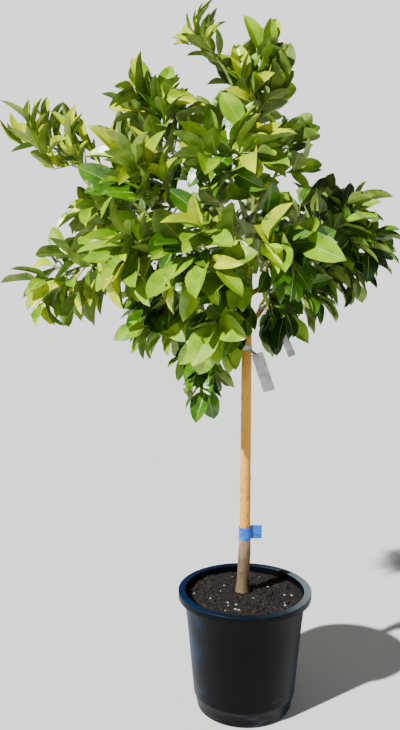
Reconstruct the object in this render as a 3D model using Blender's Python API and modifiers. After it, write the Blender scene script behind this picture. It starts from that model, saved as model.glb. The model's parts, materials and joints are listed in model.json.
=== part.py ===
"""A potted persian lime: a young grafted tree on one clear stem, in a round nursery pot.

Metres, +Z up. The origin is the middle of the pot's flat underside and the pot's front faces -Y.
A place in the crown is an azimuth in degrees (0 is +X, the plant's right, and 270 is its front),
a reach from the pot's axis and a height above its underside.
"""

import math
import random
from collections import namedtuple

import bmesh
import bpy
import numpy as np
from mathutils import Matrix, Vector
from mathutils.bvhtree import BVHTree

NAME = "potted_persian_lime_tree"
UP = Vector((0, 0, 1))
GAP = 0.0003  # what neighbouring solids keep clear of each other

# The pot: a tapered wall with a foot that steps in, and a rim whose lip turns down
POT_HEIGHT = 0.265
RIM_RADIUS = 0.1425
LIP_HEIGHT = 0.015
WALL = 0.0022
THROAT_RADIUS = 0.1295  # outside the wall, just under the rim
SHOULDER_RADIUS = 0.1245  # where the wall narrows below the throat
SHOULDER_HEIGHT = 0.205
FOOT_STEP_RADIUS = 0.1095
FOOT_STEP_HEIGHT = 0.036
FOOT_STEP = 0.0018
FOOT_RADIUS = 0.1025
FOOT_ROUND = 0.008
POT_SIDES = 36
FLOOR = 0.003

# The potting mix stands a little under the rim and is heaped slightly round the trunk
SOIL_HEIGHT = 0.252
SOIL_MOUND = 0.004
MOUND_RADIUS = 0.034

# The trunk: a rootstock with a flared foot and a graft bulge, then the straight pale stem
TRUNK_FOOT = Vector((-0.004, 0.010, SOIL_HEIGHT + SOIL_MOUND + GAP))
GRAFT = Vector((0.000, 0.011, 0.362))
FORK = Vector((0.000, 0.008, 0.848))
FLARE_RADIUS = 0.0165
FLARE_HEIGHT = 0.035
ROOTSTOCK_RADIUS = 0.0130
GRAFT_RADIUS = 0.0138
GRAFT_LENGTH = 0.055  # how long the bulge is
STEM_RADIUS = 0.0115
FORK_RADIUS = 0.0100
TRUNK_RESOLUTION = 4
BOUGH_RESOLUTION = 1

# The band of grafting tape, whose loose end is pinched flat and reaches out along +X
BAND_STEP = 0.002  # the shortest step along a band, as a part of its limb
TAPE_LOW = 0.373
TAPE_HIGH = 0.400
TAPE_THICK = 0.0012
TAPE_END = 0.036
TAPE_END_LOW = 0.001  # how much higher the loose end's lower edge is than the band's
TAPE_END_HIGH = 0.003

# Two blank labels: a strap closed round a limb, a neck and a tag that hangs from it. Each has the
# limb's name, how far along the limb the strap sits, the tag's top and bottom, and its width
LABEL_THICK = 0.0010
STRAP_WIDTH = 0.009
NECK_WIDTH = 0.006
NECK_LAP = 0.08  # how far the neck laps over its tag, as a part of the tag's length
Label = namedtuple("Label", "name limb at top bottom width")
LABELS = [
    Label("label_on_trunk", "trunk", 0.897, (0.020, -0.016, 0.778), (0.045, -0.026, 0.702), 0.024),
    Label("label_on_bough", "low_right", 0.70, (0.058, -0.052, 0.848), (0.086, -0.066, 0.780), 0.015),
]

# Leaves and twigs
GOLDEN_ANGLE = math.radians(137.5)
LEAF_SLIM = 0.60  # width as a part of the length
LEAF_WIDEST = 0.46  # part of the leaf's length from its root
LEAF_KEEL = 0.0024  # how deep the leaf is under its midrib
KEEL_PLACE = 0.22  # part of the leaf's length from its root
ROOT_SUNK = 0.0008  # how far the root goes past the middle of its twig
LEAF_CLEARANCE = 0.0006
LEAF_SIZES = (0.86, 1.18)  # of the mass's own leaf length
LEAF_WIDTHS = (0.90, 1.08)
END_LEAF = 0.88  # the size of a leaf at a tip, beside the others
SMALL_LEAF = 0.80  # the size of a leaf that fits nowhere at its full size
LEAF_FOOT = 0.009  # the part of a leaf that may touch its mates
LEAF_PITCH = 0.011  # along a twig
STEM_LEAF_PITCH = 0.0143
LEAFY_TWIG = 0.82  # the part of a twig, and of a stem, that leaves stand on
LEAFY_STEM = 0.80
LEAF_TURN = 0.7  # how far round its twig a leaf goes, in radians, each time it doesn't fit
LEAF_SLANTS = (0.6, 1.6)  # how far a leaf leans out from its twig
END_SLANT = 0.25
LEAF_LIFT = 0.55
FACE_UP = 0.75  # how much a leaf's upper side looks up, out from the trunk and anywhere
FACE_OUT = 0.75
FACE_ANYWHERE = 0.5
TWIG_PITCH = 0.021  # along the stem
FIRST_TWIG = 0.6  # how far along the stem the first twig is, in pitches
TWIG_ROOM = 0.55  # the part of a leaf's length that a twig leaves free inside the spread
TWIG_FIRST_LENGTH = 1.15  # of that room, for a twig at the stem's foot
TWIG_SHORTENS = 0.5  # how much less that is at the stem's tip
TWIG_TURN = 0.45
TWIG_SLANTS = (0.5, 0.9)  # how far a twig leans along its stem
TWIG_LENGTHS = (0.85, 1.15)
TWIG_LIFT = 0.35
SHORTEST_TWIG = 0.014
STEM_TIP_RADIUS = 0.0028
TWIG_RADIUS = 0.0021
TWIG_TIP_RADIUS = 0.0018
STEM_RADIUS_AT_FOOT = 0.0034
STEM_STEPS = 3
STEM_BEND = 0.4  # the part of its length that a stem keeps to its bough's direction
BOUGH_TIP_RADIUS = 0.0030
THICKEST_FORK = 0.85  # a bough's foot as a part of its parent's thickness there
BOUGH_STEP = 0.055
BOUGH_TAPER = 0.8
LIMB_MARGIN = 1.04  # how much thicker a limb is taken to be when leaves are tried beside it
SPACE_MARGIN = 2.0e-4  # square metres, the strip kept free between two masses
SITES = (0.0, 0.2, 0.4, 0.6, 0.8, 1.0)  # places along each stem that share out the space
TRIES = 30
SEED = "8"

# name, limb it grows from, place along that limb, its tip, diameter at its foot, bow of its middle
# as a part of its length, then the mass of leaves: where its stem ends, how far leaves stand out
# from the stem, their length and number, and how they point, from 1 for upright to -1 for hanging
Bough = namedtuple("Bough", "name parent at tip foot bow end spread leaf leaves lift")
BOUGHS = [Bough(*row) for row in (
    ("leader", "trunk", 1.00, (0, 0.020, 1.220), 0.019, 0.05, (60, 0.008, 1.335), 0.110, 0.082, 32, 0.7),
    ("left_low", "trunk", 0.95, (180, 0.250, 0.945), 0.012, -0.10, (178, 0.415, 0.910), 0.105, 0.084, 30, -0.7),
    ("right_tip", "leader", 0.12, (347, 0.135, 0.995), 0.011, -0.06, (352, 0.245, 1.000), 0.085, 0.078, 22, -0.1),
    ("back_low", "trunk", 0.97, (125, 0.140, 0.885), 0.010, -0.10, (120, 0.260, 0.850), 0.135, 0.094, 24, -0.4),
    ("front_mid", "leader", 0.05, (254, 0.100, 0.960), 0.010, -0.08, (248, 0.280, 0.985), 0.130, 0.098, 28, -0.4),
    ("upper_left", "leader", 0.21, (180, 0.280, 1.120), 0.011, -0.06, (184, 0.415, 1.200), 0.105, 0.076, 28, 0.8),
    ("back_mid", "leader", 0.16, (98, 0.140, 1.005), 0.0095, -0.06, (88, 0.280, 1.035), 0.135, 0.094, 24, 0.0),
    ("upper_mid", "leader", 0.45, (190, 0.135, 1.160), 0.009, -0.06, (194, 0.200, 1.280), 0.105, 0.082, 28, 0.5),
    ("back_upper", "leader", 0.62, (110, 0.100, 1.130), 0.008, -0.06, (100, 0.185, 1.250), 0.125, 0.090, 24, 0.3),
    ("front_upper", "leader", 0.50, (250, 0.085, 1.100), 0.008, -0.06, (258, 0.205, 1.165), 0.120, 0.088, 26, 0.1),
    ("arch", "leader", 0.88, (222, 0.046, 1.300), 0.007, -0.04, (206, 0.120, 1.390), 0.080, 0.062, 17, 0.9),
    ("upper_right", "leader", 0.58, (325, 0.055, 1.120), 0.0075, -0.06, (335, 0.078, 1.205), 0.090, 0.078, 17, 0.3),
    ("left_mid", "upper_left", 0.45, (186, 0.200, 1.040), 0.0075, 0.05, (187, 0.315, 1.070), 0.090, 0.080, 20, 0.2),
    ("upper_side", "upper_left", 0.55, (178, 0.190, 1.120), 0.0075, 0.05, (176, 0.250, 1.185), 0.095, 0.082, 18, 0.4),
    ("upper_inner", "upper_mid", 0.45, (211, 0.150, 1.075), 0.0075, 0.05, (212, 0.265, 1.135), 0.105, 0.088, 26, 0.2),
    ("front_left", "front_mid", 0.60, (215, 0.170, 0.990), 0.0075, 0.05, (222, 0.300, 0.985), 0.110, 0.092, 24, -0.3),
    ("bottom_left", "left_low", 0.28, (192, 0.115, 0.875), 0.0075, 0.10, (194, 0.200, 0.865), 0.110, 0.086, 24, -0.7),
    ("bottom_centre", "trunk", 0.91, (218, 0.066, 0.815), 0.0075, 0.10, (212, 0.108, 0.725), 0.085, 0.082, 18, -0.8),
    ("front_low", "trunk", 0.93, (256, 0.080, 0.880), 0.008, 0.06, (247, 0.185, 0.845), 0.105, 0.095, 18, -0.7),
    ("front_right", "right_tip", 0.30, (285, 0.105, 0.980), 0.0075, 0.05, (282, 0.240, 0.995), 0.110, 0.092, 22, -0.2),
    ("right_upper", "right_tip", 0.45, (2, 0.140, 1.025), 0.0075, 0.04, (0, 0.220, 1.065), 0.075, 0.072, 15, 0.1),
    ("right_low", "right_tip", 0.62, (10, 0.110, 0.965), 0.0075, 0.04, (10, 0.215, 0.945), 0.090, 0.082, 20, -0.6),
    ("right_hanging", "trunk", 0.95, (345, 0.080, 0.925), 0.0075, 0.06, (343, 0.135, 0.900), 0.085, 0.078, 15, -0.7),
    ("low_right", "trunk", 0.925, (310, 0.060, 0.905), 0.0075, 0.06, (303, 0.095, 0.860), 0.095, 0.084, 17, -0.7),
    ("back_left", "back_low", 0.45, (145, 0.200, 0.985), 0.0075, 0.04, (146, 0.335, 1.040), 0.125, 0.094, 26, 0.0),
    ("back_right", "back_mid", 0.40, (55, 0.150, 1.000), 0.0075, 0.04, (50, 0.280, 1.040), 0.125, 0.094, 26, 0.0),
)]

# sRGB colours, turned to linear where a material is made
COLOURS = {
    "pot": ("0B0F16", 0.42),
    "potting_mix": ("241812", 0.95),
    "bark": ("C9A873", 0.75),
    "tape": ("1592E6", 0.40),
    "label": ("D8DCDF", 0.45),
    "leaf": ("4E7D1E", 0.35),
}


def place(azimuth, reach, height):
    """A point of the crown from its azimuth, its reach from the pot's axis and its height."""
    turn = math.radians(azimuth)
    return Vector((reach * math.cos(turn), reach * math.sin(turn), height))


def linear(hex_colour):
    parts = [int(hex_colour[i : i + 2], 16) / 255 for i in (0, 2, 4)]
    return [c / 12.92 if c <= 0.04045 else ((c + 0.055) / 1.055) ** 2.4 for c in parts] + [1.0]


def material(name, key):
    colour, roughness = COLOURS[key]
    made = bpy.data.materials.new(name)
    made.use_nodes = True
    shader = made.node_tree.nodes["Principled BSDF"]
    shader.inputs["Base Color"].default_value = linear(colour)
    shader.inputs["Roughness"].default_value = roughness
    shader.inputs["Metallic"].default_value = 0.0
    return made


def collection(name):
    made = bpy.data.collections.new(name)
    bpy.context.scene.collection.children.link(made)
    return made


def add_object(name, data, group, key=None):
    made = bpy.data.objects.new(name, data)
    group.objects.link(made)
    if key:
        data.materials.append(material(name + "_finish", key))
    return made


def mesh_from(name, build):
    """A mesh datablock from a function that fills a bmesh."""
    mesh = bpy.data.meshes.new(name)
    bm = bmesh.new()
    build(bm)
    bm.to_mesh(mesh)
    bm.free()
    return mesh


def turned(name, profile, sides, group, key=None):
    """A profile of (radius, height) points, top to bottom down its outer side, turned about Z."""
    def build(bm):
        points = [bm.verts.new((radius, 0, height)) for radius, height in profile]
        for one, two in zip(points, points[1:]):
            bm.edges.new((one, two))

    made = add_object(name, mesh_from(name, build), group, key)
    screw = made.modifiers.new("Turned", "SCREW")
    screw.steps = sides
    screw.render_steps = sides
    screw.use_merge_vertices = True
    screw.merge_threshold = 0.0001
    made.data.shade_smooth()
    return made


def cut(obj, cutter, operation="DIFFERENCE"):
    boolean = obj.modifiers.new(cutter.name, "BOOLEAN")
    boolean.operation = operation
    boolean.object = cutter
    cutter.hide_render = True
    cutter.display_type = "WIRE"


def quadratic(start, middle, end, t):
    return start * (1 - t) ** 2 + middle * 2 * t * (1 - t) + end * t**2


class Limb:
    """A tapering path: points with a radius at each."""

    def __init__(self, points, radii):
        self.points = points
        self.radii = radii
        self.lengths = [(b - a).length for a, b in zip(points, points[1:])]
        self.length = sum(self.lengths)

    def at(self, part):
        """The point, direction and radius at a part of the length, from 0 to 1."""
        left = part * self.length
        for i, step in enumerate(self.lengths):
            if left <= step or i == len(self.lengths) - 1:
                share = min(left / step, 1.0)
                point = self.points[i].lerp(self.points[i + 1], share)
                radius = self.radii[i] * (1 - share) + self.radii[i + 1] * share
                return point, (self.points[i + 1] - self.points[i]).normalized(), radius
            left -= step

    def tube(self, name, group, resolution, extra=0.0, key=None):
        """The limb as a mesh: a bevelled curve with filled caps, grown by extra all round."""
        curve = bpy.data.curves.new(name, "CURVE")
        curve.dimensions = "3D"
        curve.bevel_depth = 1.0
        curve.bevel_resolution = resolution
        curve.use_fill_caps = True
        spline = curve.splines.new("POLY")
        spline.points.add(len(self.points) - 1)
        for knot, point, radius in zip(spline.points, self.points, self.radii):
            knot.co = (*point, 1)
            knot.radius = radius + extra
        drawn = add_object(name + "_line", curve, group)
        graph = bpy.context.evaluated_depsgraph_get()
        mesh = bpy.data.meshes.new_from_object(drawn.evaluated_get(graph))
        matrix = drawn.matrix_world.copy()
        bpy.data.objects.remove(drawn)
        bm = bmesh.new()
        bm.from_mesh(mesh)
        bmesh.ops.remove_doubles(bm, verts=bm.verts, dist=1e-6)
        bmesh.ops.recalc_face_normals(bm, faces=bm.faces)
        bm.to_mesh(mesh)
        bm.free()
        made = add_object(name, mesh, group, key)
        made.matrix_world = matrix
        return made


def trunk_radius(height):
    """The foot's flare, the rootstock with its graft bulge, then the stem's slow taper."""
    rise = height - TRUNK_FOOT.z
    if height < GRAFT.z:
        radius = ROOTSTOCK_RADIUS
    else:
        share = (height - GRAFT.z) / (FORK.z - GRAFT.z)
        radius = STEM_RADIUS + (FORK_RADIUS - STEM_RADIUS) * share
    flare = max(0.0, 1 - rise / FLARE_HEIGHT)
    bulge = max(0.0, 1 - abs(height - GRAFT.z) / GRAFT_LENGTH)
    return radius + (FLARE_RADIUS - ROOTSTOCK_RADIUS) * flare**2 + (GRAFT_RADIUS - ROOTSTOCK_RADIUS) * bulge


def trunk_limb():
    """The trunk's middle line, upright at its flat foot and bent a little at the graft."""
    rises = [0.0, 0.008, 0.018, FLARE_HEIGHT, 0.075, GRAFT.z - TRUNK_FOOT.z]
    heights = [TRUNK_FOOT.z + rise for rise in rises]
    heights += [GRAFT.z + 0.012, TAPE_HIGH, GRAFT.z + GRAFT_LENGTH, 0.55, 0.70, FORK.z]
    points = []
    for height in heights:
        if height <= GRAFT.z:
            share = max(0.0, (height - heights[1]) / (GRAFT.z - heights[1]))
            line = TRUNK_FOOT.lerp(GRAFT, share)
        else:
            line = GRAFT.lerp(FORK, (height - GRAFT.z) / (FORK.z - GRAFT.z))
        points.append(Vector((line.x, line.y, height)))
    return Limb(points, [trunk_radius(height) for height in heights])


def bough_limb(bough, parent):
    """One bough as a bowed, tapering path from its parent's middle line to its tip."""
    start, along, radius = parent.at(bough.at)
    foot = bough.foot / 2
    points = [start]
    if bough.at == 1.0:
        points = [start + along * GAP]
        start = points[0] + along * foot
        points.append(start)
    else:
        foot = min(foot, THICKEST_FORK * radius)
    tip = place(*bough.tip)
    span = tip - start
    middle = start + span / 2 + UP * bough.bow * span.length
    steps = max(3, round(span.length / BOUGH_STEP))
    points += [quadratic(start, middle, tip, i / steps) for i in range(1, steps + 1)]
    last = len(points) - 1
    radii = [foot + (BOUGH_TIP_RADIUS - foot) * (i / last) ** BOUGH_TAPER for i in range(last + 1)]
    return Limb(points, radii)


def stem_limb(bough, limb):
    """The stem that a mass grows on: it runs on from the bough's tip and bends to its own end."""
    tip = limb.points[-1]
    along = (tip - limb.points[-2]).normalized()
    foot = tip + along * GAP
    start = foot + along * BOUGH_TIP_RADIUS
    end = place(*bough.end)
    middle = start + along * (end - start).length * STEM_BEND
    points = [foot] + [quadratic(start, middle, end, i / STEM_STEPS) for i in range(STEM_STEPS + 1)]
    last = len(points) - 1
    taper = (STEM_TIP_RADIUS - STEM_RADIUS_AT_FOOT) / last
    radii = [STEM_RADIUS_AT_FOOT + taper * i for i in range(last + 1)]
    return Limb(points, radii)


def side_of(direction):
    """A unit vector square to a direction."""
    helper = UP if abs(direction.z) < 0.9 else Vector((1, 0, 0))
    return direction.cross(helper).normalized()


def loft(limb, sides=3):
    """Vertices and faces of a closed tapering tube along a path, for twigs and for testing."""
    vertices = []
    faces = []
    side = side_of(limb.points[1] - limb.points[0])
    for i, point in enumerate(limb.points):
        before = limb.points[max(i - 1, 0)]
        after = limb.points[min(i + 1, len(limb.points) - 1)]
        along = (after - before).normalized()
        side = (side - along * side.dot(along)).normalized()
        other = along.cross(side)
        for k in range(sides):
            turn = 2 * math.pi * k / sides
            vertices.append(point + (side * math.cos(turn) + other * math.sin(turn)) * limb.radii[i])
    for i in range(len(limb.points) - 1):
        for k in range(sides):
            a = i * sides + k
            b = i * sides + (k + 1) % sides
            faces.append((a, b, b + sides, a + sides))
    faces.append(tuple(reversed(range(sides))))
    faces.append(tuple(range(len(vertices) - sides, len(vertices))))
    return vertices, faces


def leaf_points(root, along, face, length, width, grow=0.0):
    """The five corners of a leaf: its root, two at its widest, the keel under it and its tip."""
    across = face.cross(along).normalized()
    face = along.cross(across).normalized()
    widest = root + along * length * LEAF_WIDEST
    return [
        root - along * grow + face * grow,
        widest + across * (width / 2 + grow) + face * grow,
        widest - across * (width / 2 + grow) + face * grow,
        root + along * length * KEEL_PLACE - face * (LEAF_KEEL + grow),
        root + along * (length + grow) + face * grow,
    ]


# The flat upper side, then the four faces down to the keel
LEAF_FACES = [(0, 2, 1), (1, 2, 4), (0, 1, 3), (0, 3, 2), (1, 4, 3), (2, 3, 4)]


def tree_of(points, faces):
    return BVHTree.FromPolygons(points, faces)


def ball_round(points):
    """The centre and radius of a ball that holds the points."""
    centre = sum(points, Vector()) / len(points)
    return centre, max((point - centre).length for point in points)


class Crown:
    """All masses of leaves together, so that each keeps to its own space and clear of limbs."""

    def __init__(self, limbs, stems, others):
        self.stems = stems
        self.obstacles = [tree_of(*shape) for shape in others]
        for limb in limbs.values():
            grown = Limb(limb.points, [radius * LIMB_MARGIN + LEAF_CLEARANCE for radius in limb.radii])
            self.obstacles.append(tree_of(*loft(grown, 8)))
        self.sites = []
        self.weights = []
        self.owners = []
        for i, bough in enumerate(BOUGHS):
            for part in SITES:
                self.sites.append(stems[bough.name].at(part)[0])
                self.weights.append(bough.spread**2)
                self.owners.append(i)
        self.sites = np.array(self.sites)
        self.weights = np.array(self.weights)
        self.owners = np.array(self.owners)
        self.placed = []

    def within(self, owner, points):
        """Whether all the points lie in the owner's space: nearest its stem, within its spread."""
        points = np.array(points)
        squares = ((points[:, None, :] - self.sites[None, :, :]) ** 2).sum(axis=2) - self.weights
        own = squares[:, self.owners == owner].min(axis=1)
        others = squares[:, self.owners != owner].min(axis=1)
        return bool((own < 0).all() and (own + SPACE_MARGIN < others).all())

    def clear(self, owner, points, faces, mates):
        """Whether a piece crosses no limb and no placed piece of its own mass, or of the others."""
        tree = tree_of(points, faces)
        if not mates and any(obstacle.overlap(tree) for obstacle in self.obstacles):
            return False
        centre, reach = ball_round(points)
        for other_owner, other_centre, other_reach, other_tree in self.placed:
            if (other_owner == owner) != mates:
                continue
            if (other_centre - centre).length < reach + other_reach and other_tree.overlap(tree):
                return False
        return True

    def keep(self, owner, points, faces):
        self.placed.append((owner, *ball_round(points), tree_of(points, faces)))


def grow_twigs(bough, owner, crown, rng):
    """Side twigs by the golden angle along the stem, shorter towards its tip."""
    stem = crown.stems[bough.name]
    count = max(3, round(stem.length / TWIG_PITCH))
    twigs = []
    phase = rng.uniform(0, 2 * math.pi)
    for i in range(count):
        part = (i + FIRST_TWIG) / (count + 1 - FIRST_TWIG)
        point, along, _ = stem.at(part)
        wanted = bough.spread - TWIG_ROOM * bough.leaf
        wanted *= TWIG_FIRST_LENGTH - TWIG_SHORTENS * part
        if wanted < SHORTEST_TWIG:
            continue
        for attempt in range(TRIES):
            turn = phase + GOLDEN_ANGLE * i + attempt * TWIG_TURN
            side = side_of(along)
            out = side * math.cos(turn) + along.cross(side) * math.sin(turn)
            lean = along * rng.uniform(*TWIG_SLANTS) + UP * TWIG_LIFT * bough.lift
            heading = (out + lean).normalized()
            length = wanted * rng.uniform(*TWIG_LENGTHS)
            twig = Limb([point, point + heading * length], [TWIG_RADIUS, TWIG_TIP_RADIUS])
            grown = Limb(twig.points, [radius + LEAF_CLEARANCE for radius in twig.radii])
            shape = loft(grown)
            if crown.within(owner, shape[0]) and crown.clear(owner, *shape, mates=False):
                twigs.append(twig)
                crown.keep(owner, *shape)
                break
    return twigs


def leaf_nodes(bough, stem, twigs):
    """Where leaves may stand: twig tips first, then down the twigs and the stem in turn."""
    nodes = [(stem, 1.0, 0)]
    nodes += [(twig, 1.0, k) for k, twig in enumerate(twigs)]
    rounds = []
    for k, twig in enumerate(twigs):
        count = max(1, int(twig.length * LEAFY_TWIG / LEAF_PITCH))
        rounds.append([(twig, 1 - LEAFY_TWIG * (i + 0.5) / count, 3 * i + k) for i in range(count)])
    count = max(3, int(stem.length * LEAFY_STEM / STEM_LEAF_PITCH))
    rounds.append([(stem, 1 - LEAFY_STEM * (i + 0.5) / count, i) for i in range(count)])
    for depth in range(max(len(row) for row in rounds)):
        nodes += [row[depth] for row in rounds if depth < len(row)]
    return nodes


def grow_leaves(bough, owner, crown, twigs, rng):
    """Leaves by the golden angle round each twig, turned until they fit, until there are enough."""
    stem = crown.stems[bough.name]
    leaves = []
    for carrier, part, index in leaf_nodes(bough, stem, twigs):
        if len(leaves) >= bough.leaves:
            break
        root, along, _ = carrier.at(part)
        size = rng.uniform(*LEAF_SIZES) * (END_LEAF if part == 1.0 else 1.0)
        phase = rng.uniform(-LEAF_TURN / 2, LEAF_TURN / 2)
        for attempt in range(TRIES):
            turn = GOLDEN_ANGLE * index + phase + attempt * LEAF_TURN
            side = side_of(along)
            out = side * math.cos(turn) + along.cross(side) * math.sin(turn)
            slant = END_SLANT if part == 1.0 and attempt < TRIES / 5 else rng.uniform(*LEAF_SLANTS)
            heading = (along + out * slant + UP * LEAF_LIFT * bough.lift).normalized()
            outward = Vector((root.x, root.y, 0)).normalized()
            anywhere = Vector([rng.uniform(-FACE_ANYWHERE, FACE_ANYWHERE) for _ in range(3)])
            face = UP * FACE_UP + outward * FACE_OUT + anywhere
            face = face - heading * face.dot(heading)
            length = bough.leaf * size * (1.0 if attempt < TRIES / 2 else SMALL_LEAF)
            width = length * LEAF_SLIM * rng.uniform(*LEAF_WIDTHS)
            tested = leaf_points(root, heading, face, length, width, LEAF_CLEARANCE)
            if not crown.within(owner, tested[1:]):
                continue
            start = root + heading * LEAF_FOOT
            outer = leaf_points(start, heading, face, length - LEAF_FOOT, width, LEAF_CLEARANCE)
            if crown.clear(owner, tested, LEAF_FACES, mates=False) and crown.clear(
                owner, outer, LEAF_FACES, mates=True
            ):
                sunk = root - heading * ROOT_SUNK
                leaves.append(leaf_points(sunk, heading, face, length + ROOT_SUNK, width))
                crown.keep(owner, tested, LEAF_FACES)
                break
    return leaves


def grow_crown(limbs, others):
    """Stems, twigs and leaves of every mass, by name, clear of the limbs and of other shapes."""
    stems = {bough.name: stem_limb(bough, limbs[bough.name]) for bough in BOUGHS}
    crown = Crown(limbs, stems, others)
    masses = {}
    for owner, bough in enumerate(BOUGHS):
        vertices, faces = loft(stems[bough.name])
        crown.keep(owner, vertices, faces)
    for owner, bough in enumerate(BOUGHS):
        twigs = grow_twigs(bough, owner, crown, random.Random(SEED + bough.name))
        masses[bough.name] = (stems[bough.name], twigs, [])
    for owner, bough in enumerate(BOUGHS):
        stem, twigs, _ = masses[bough.name]
        leaves = grow_leaves(bough, owner, crown, twigs, random.Random(SEED + bough.name + "_leaves"))
        masses[bough.name] = (stem, twigs, leaves)
    return masses


def all_limbs():
    limbs = {"trunk": trunk_limb()}
    for bough in BOUGHS:
        limbs[bough.name] = bough_limb(bough, limbs[bough.parent])
    return limbs


def joined_mass(bough, stem, twigs, leaves, group):
    """A mass as one solid: its stem with every twig and leaf joined to it."""
    name = "leaves_" + bough.name

    def fill(points, faces):
        def build(bm):
            corners = [bm.verts.new(point) for point in points]
            for face in faces:
                bm.faces.new([corners[i] for i in face])

        return build

    mass = add_object(name, mesh_from(name, fill(*loft(stem))), group, "leaf")
    pieces = collection(name + "_pieces")
    for twig in twigs:
        add_object("twig", mesh_from("twig", fill(*loft(twig))), pieces)
    for leaf in leaves:
        add_object("leaf", mesh_from("leaf", fill(leaf, LEAF_FACES)), pieces)
    union = mass.modifiers.new("Joined", "BOOLEAN")
    union.operation = "UNION"
    union.operand_type = "COLLECTION"
    union.collection = pieces
    graph = bpy.context.evaluated_depsgraph_get()
    mesh = bpy.data.meshes.new_from_object(mass.evaluated_get(graph))
    mass.modifiers.clear()
    mass.data = mesh
    for piece in list(pieces.objects):
        bpy.data.objects.remove(piece)
    bpy.data.collections.remove(pieces)
    return mass


def pot_wall_radius(height):
    """The outside of the wall: straight from the foot's step to the shoulder, then to the throat."""
    if height >= SHOULDER_HEIGHT:
        share = (height - SHOULDER_HEIGHT) / (POT_HEIGHT - SHOULDER_HEIGHT)
        return SHOULDER_RADIUS + (THROAT_RADIUS - SHOULDER_RADIUS) * share
    share = (height - FOOT_STEP_HEIGHT) / (SHOULDER_HEIGHT - FOOT_STEP_HEIGHT)
    return FOOT_STEP_RADIUS + (SHOULDER_RADIUS - FOOT_STEP_RADIUS) * share


def make_pot(parts):
    """A thin tapered cup with a flat rim, whose lip turns down outside the wall."""
    rim_round = 0.002
    lip_low = POT_HEIGHT - LIP_HEIGHT
    inside = FOOT_RADIUS - WALL
    profile = [
        (0.0, FLOOR),
        (inside - FOOT_ROUND / 2, FLOOR),
        (inside, FLOOR + FOOT_ROUND / 2),
        (pot_wall_radius(FOOT_STEP_HEIGHT) - FOOT_STEP - WALL, FOOT_STEP_HEIGHT),
        (pot_wall_radius(SHOULDER_HEIGHT) - WALL, SHOULDER_HEIGHT),
        (THROAT_RADIUS - WALL, POT_HEIGHT - rim_round),
        (THROAT_RADIUS - WALL + rim_round, POT_HEIGHT),
        (RIM_RADIUS - rim_round, POT_HEIGHT),
        (RIM_RADIUS, POT_HEIGHT - rim_round),
        (RIM_RADIUS, lip_low),
        (RIM_RADIUS - WALL, lip_low),
        (RIM_RADIUS - WALL, POT_HEIGHT - WALL - rim_round / 2),
        (THROAT_RADIUS, POT_HEIGHT - WALL - rim_round / 2),
        (SHOULDER_RADIUS, SHOULDER_HEIGHT),
        (FOOT_STEP_RADIUS, FOOT_STEP_HEIGHT),
        (FOOT_STEP_RADIUS - FOOT_STEP, FOOT_STEP_HEIGHT - FOOT_STEP),
        (FOOT_RADIUS, FOOT_ROUND),
        (FOOT_RADIUS - FOOT_ROUND * 0.3, FOOT_ROUND * 0.3),
        (FOOT_RADIUS - FOOT_ROUND, 0.0),
        (0.0, 0.0),
    ]
    return turned("pot", profile, POT_SIDES, parts, "pot")


def make_soil(parts):
    """The potting mix fills the pot, a hair clear of its wall, and is flat where the trunk stands."""
    inside = FOOT_RADIUS - WALL - GAP
    fall = pot_wall_radius(SHOULDER_HEIGHT) - WALL - GAP
    profile = [
        (0.0, SOIL_HEIGHT + SOIL_MOUND),
        (MOUND_RADIUS, SOIL_HEIGHT + SOIL_MOUND),
        (2 * MOUND_RADIUS, SOIL_HEIGHT),
        (pot_wall_radius(SOIL_HEIGHT) - WALL - 2 * GAP, SOIL_HEIGHT),
        (fall, SHOULDER_HEIGHT),
        (pot_wall_radius(FOOT_STEP_HEIGHT) - FOOT_STEP - WALL - GAP, FOOT_STEP_HEIGHT),
        (inside, FLOOR + FOOT_ROUND / 2 + GAP),
        (inside - FOOT_ROUND / 2, FLOOR + GAP),
        (0.0, FLOOR + GAP),
    ]
    return turned("potting_mix", profile, POT_SIDES, parts, "potting_mix")


def part_at_height(limb, height):
    """How far along a rising limb a height lies, from 0 to 1."""
    run = 0.0
    for low, high, step in zip(limb.points, limb.points[1:], limb.lengths):
        if height <= high.z:
            return (run + step * (height - low.z) / (high.z - low.z)) / limb.length
        run += step
    return 1.0


def band(name, limb, start, end, thick, resolution, group, key):
    """A band round a limb between two places along it, solid inside until the limb is cut out."""
    marks = [start]
    run = 0.0
    for step in limb.lengths:
        run += step
        if start + BAND_STEP < run / limb.length < end - BAND_STEP:
            marks.append(run / limb.length)
    marks.append(end)
    radii = [limb.at(mark)[2] + GAP + thick for mark in marks]
    return Limb([limb.at(mark)[0] for mark in marks], radii).tube(name, group, resolution, key=key)


def bar(name, group, start, end, width, thick, grow=0.0):
    """A flat bar from one point to another whose broad side faces the front, from the unit cube."""
    along = (end - start).normalized()
    across = along.cross(Vector((0, -1, 0))).normalized()
    turn = Matrix((across, along, across.cross(along))).transposed().to_4x4()
    size = Vector((width, (end - start).length, thick)) + Vector((grow, grow, grow)) * 2

    def build(bm):
        bmesh.ops.create_cube(bm, size=1.0)
        bmesh.ops.scale(bm, vec=size, verts=bm.verts)
        bmesh.ops.transform(bm, matrix=Matrix.Translation((start + end) / 2) @ turn, verts=bm.verts)

    return add_object(name, mesh_from(name, build), group)


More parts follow.
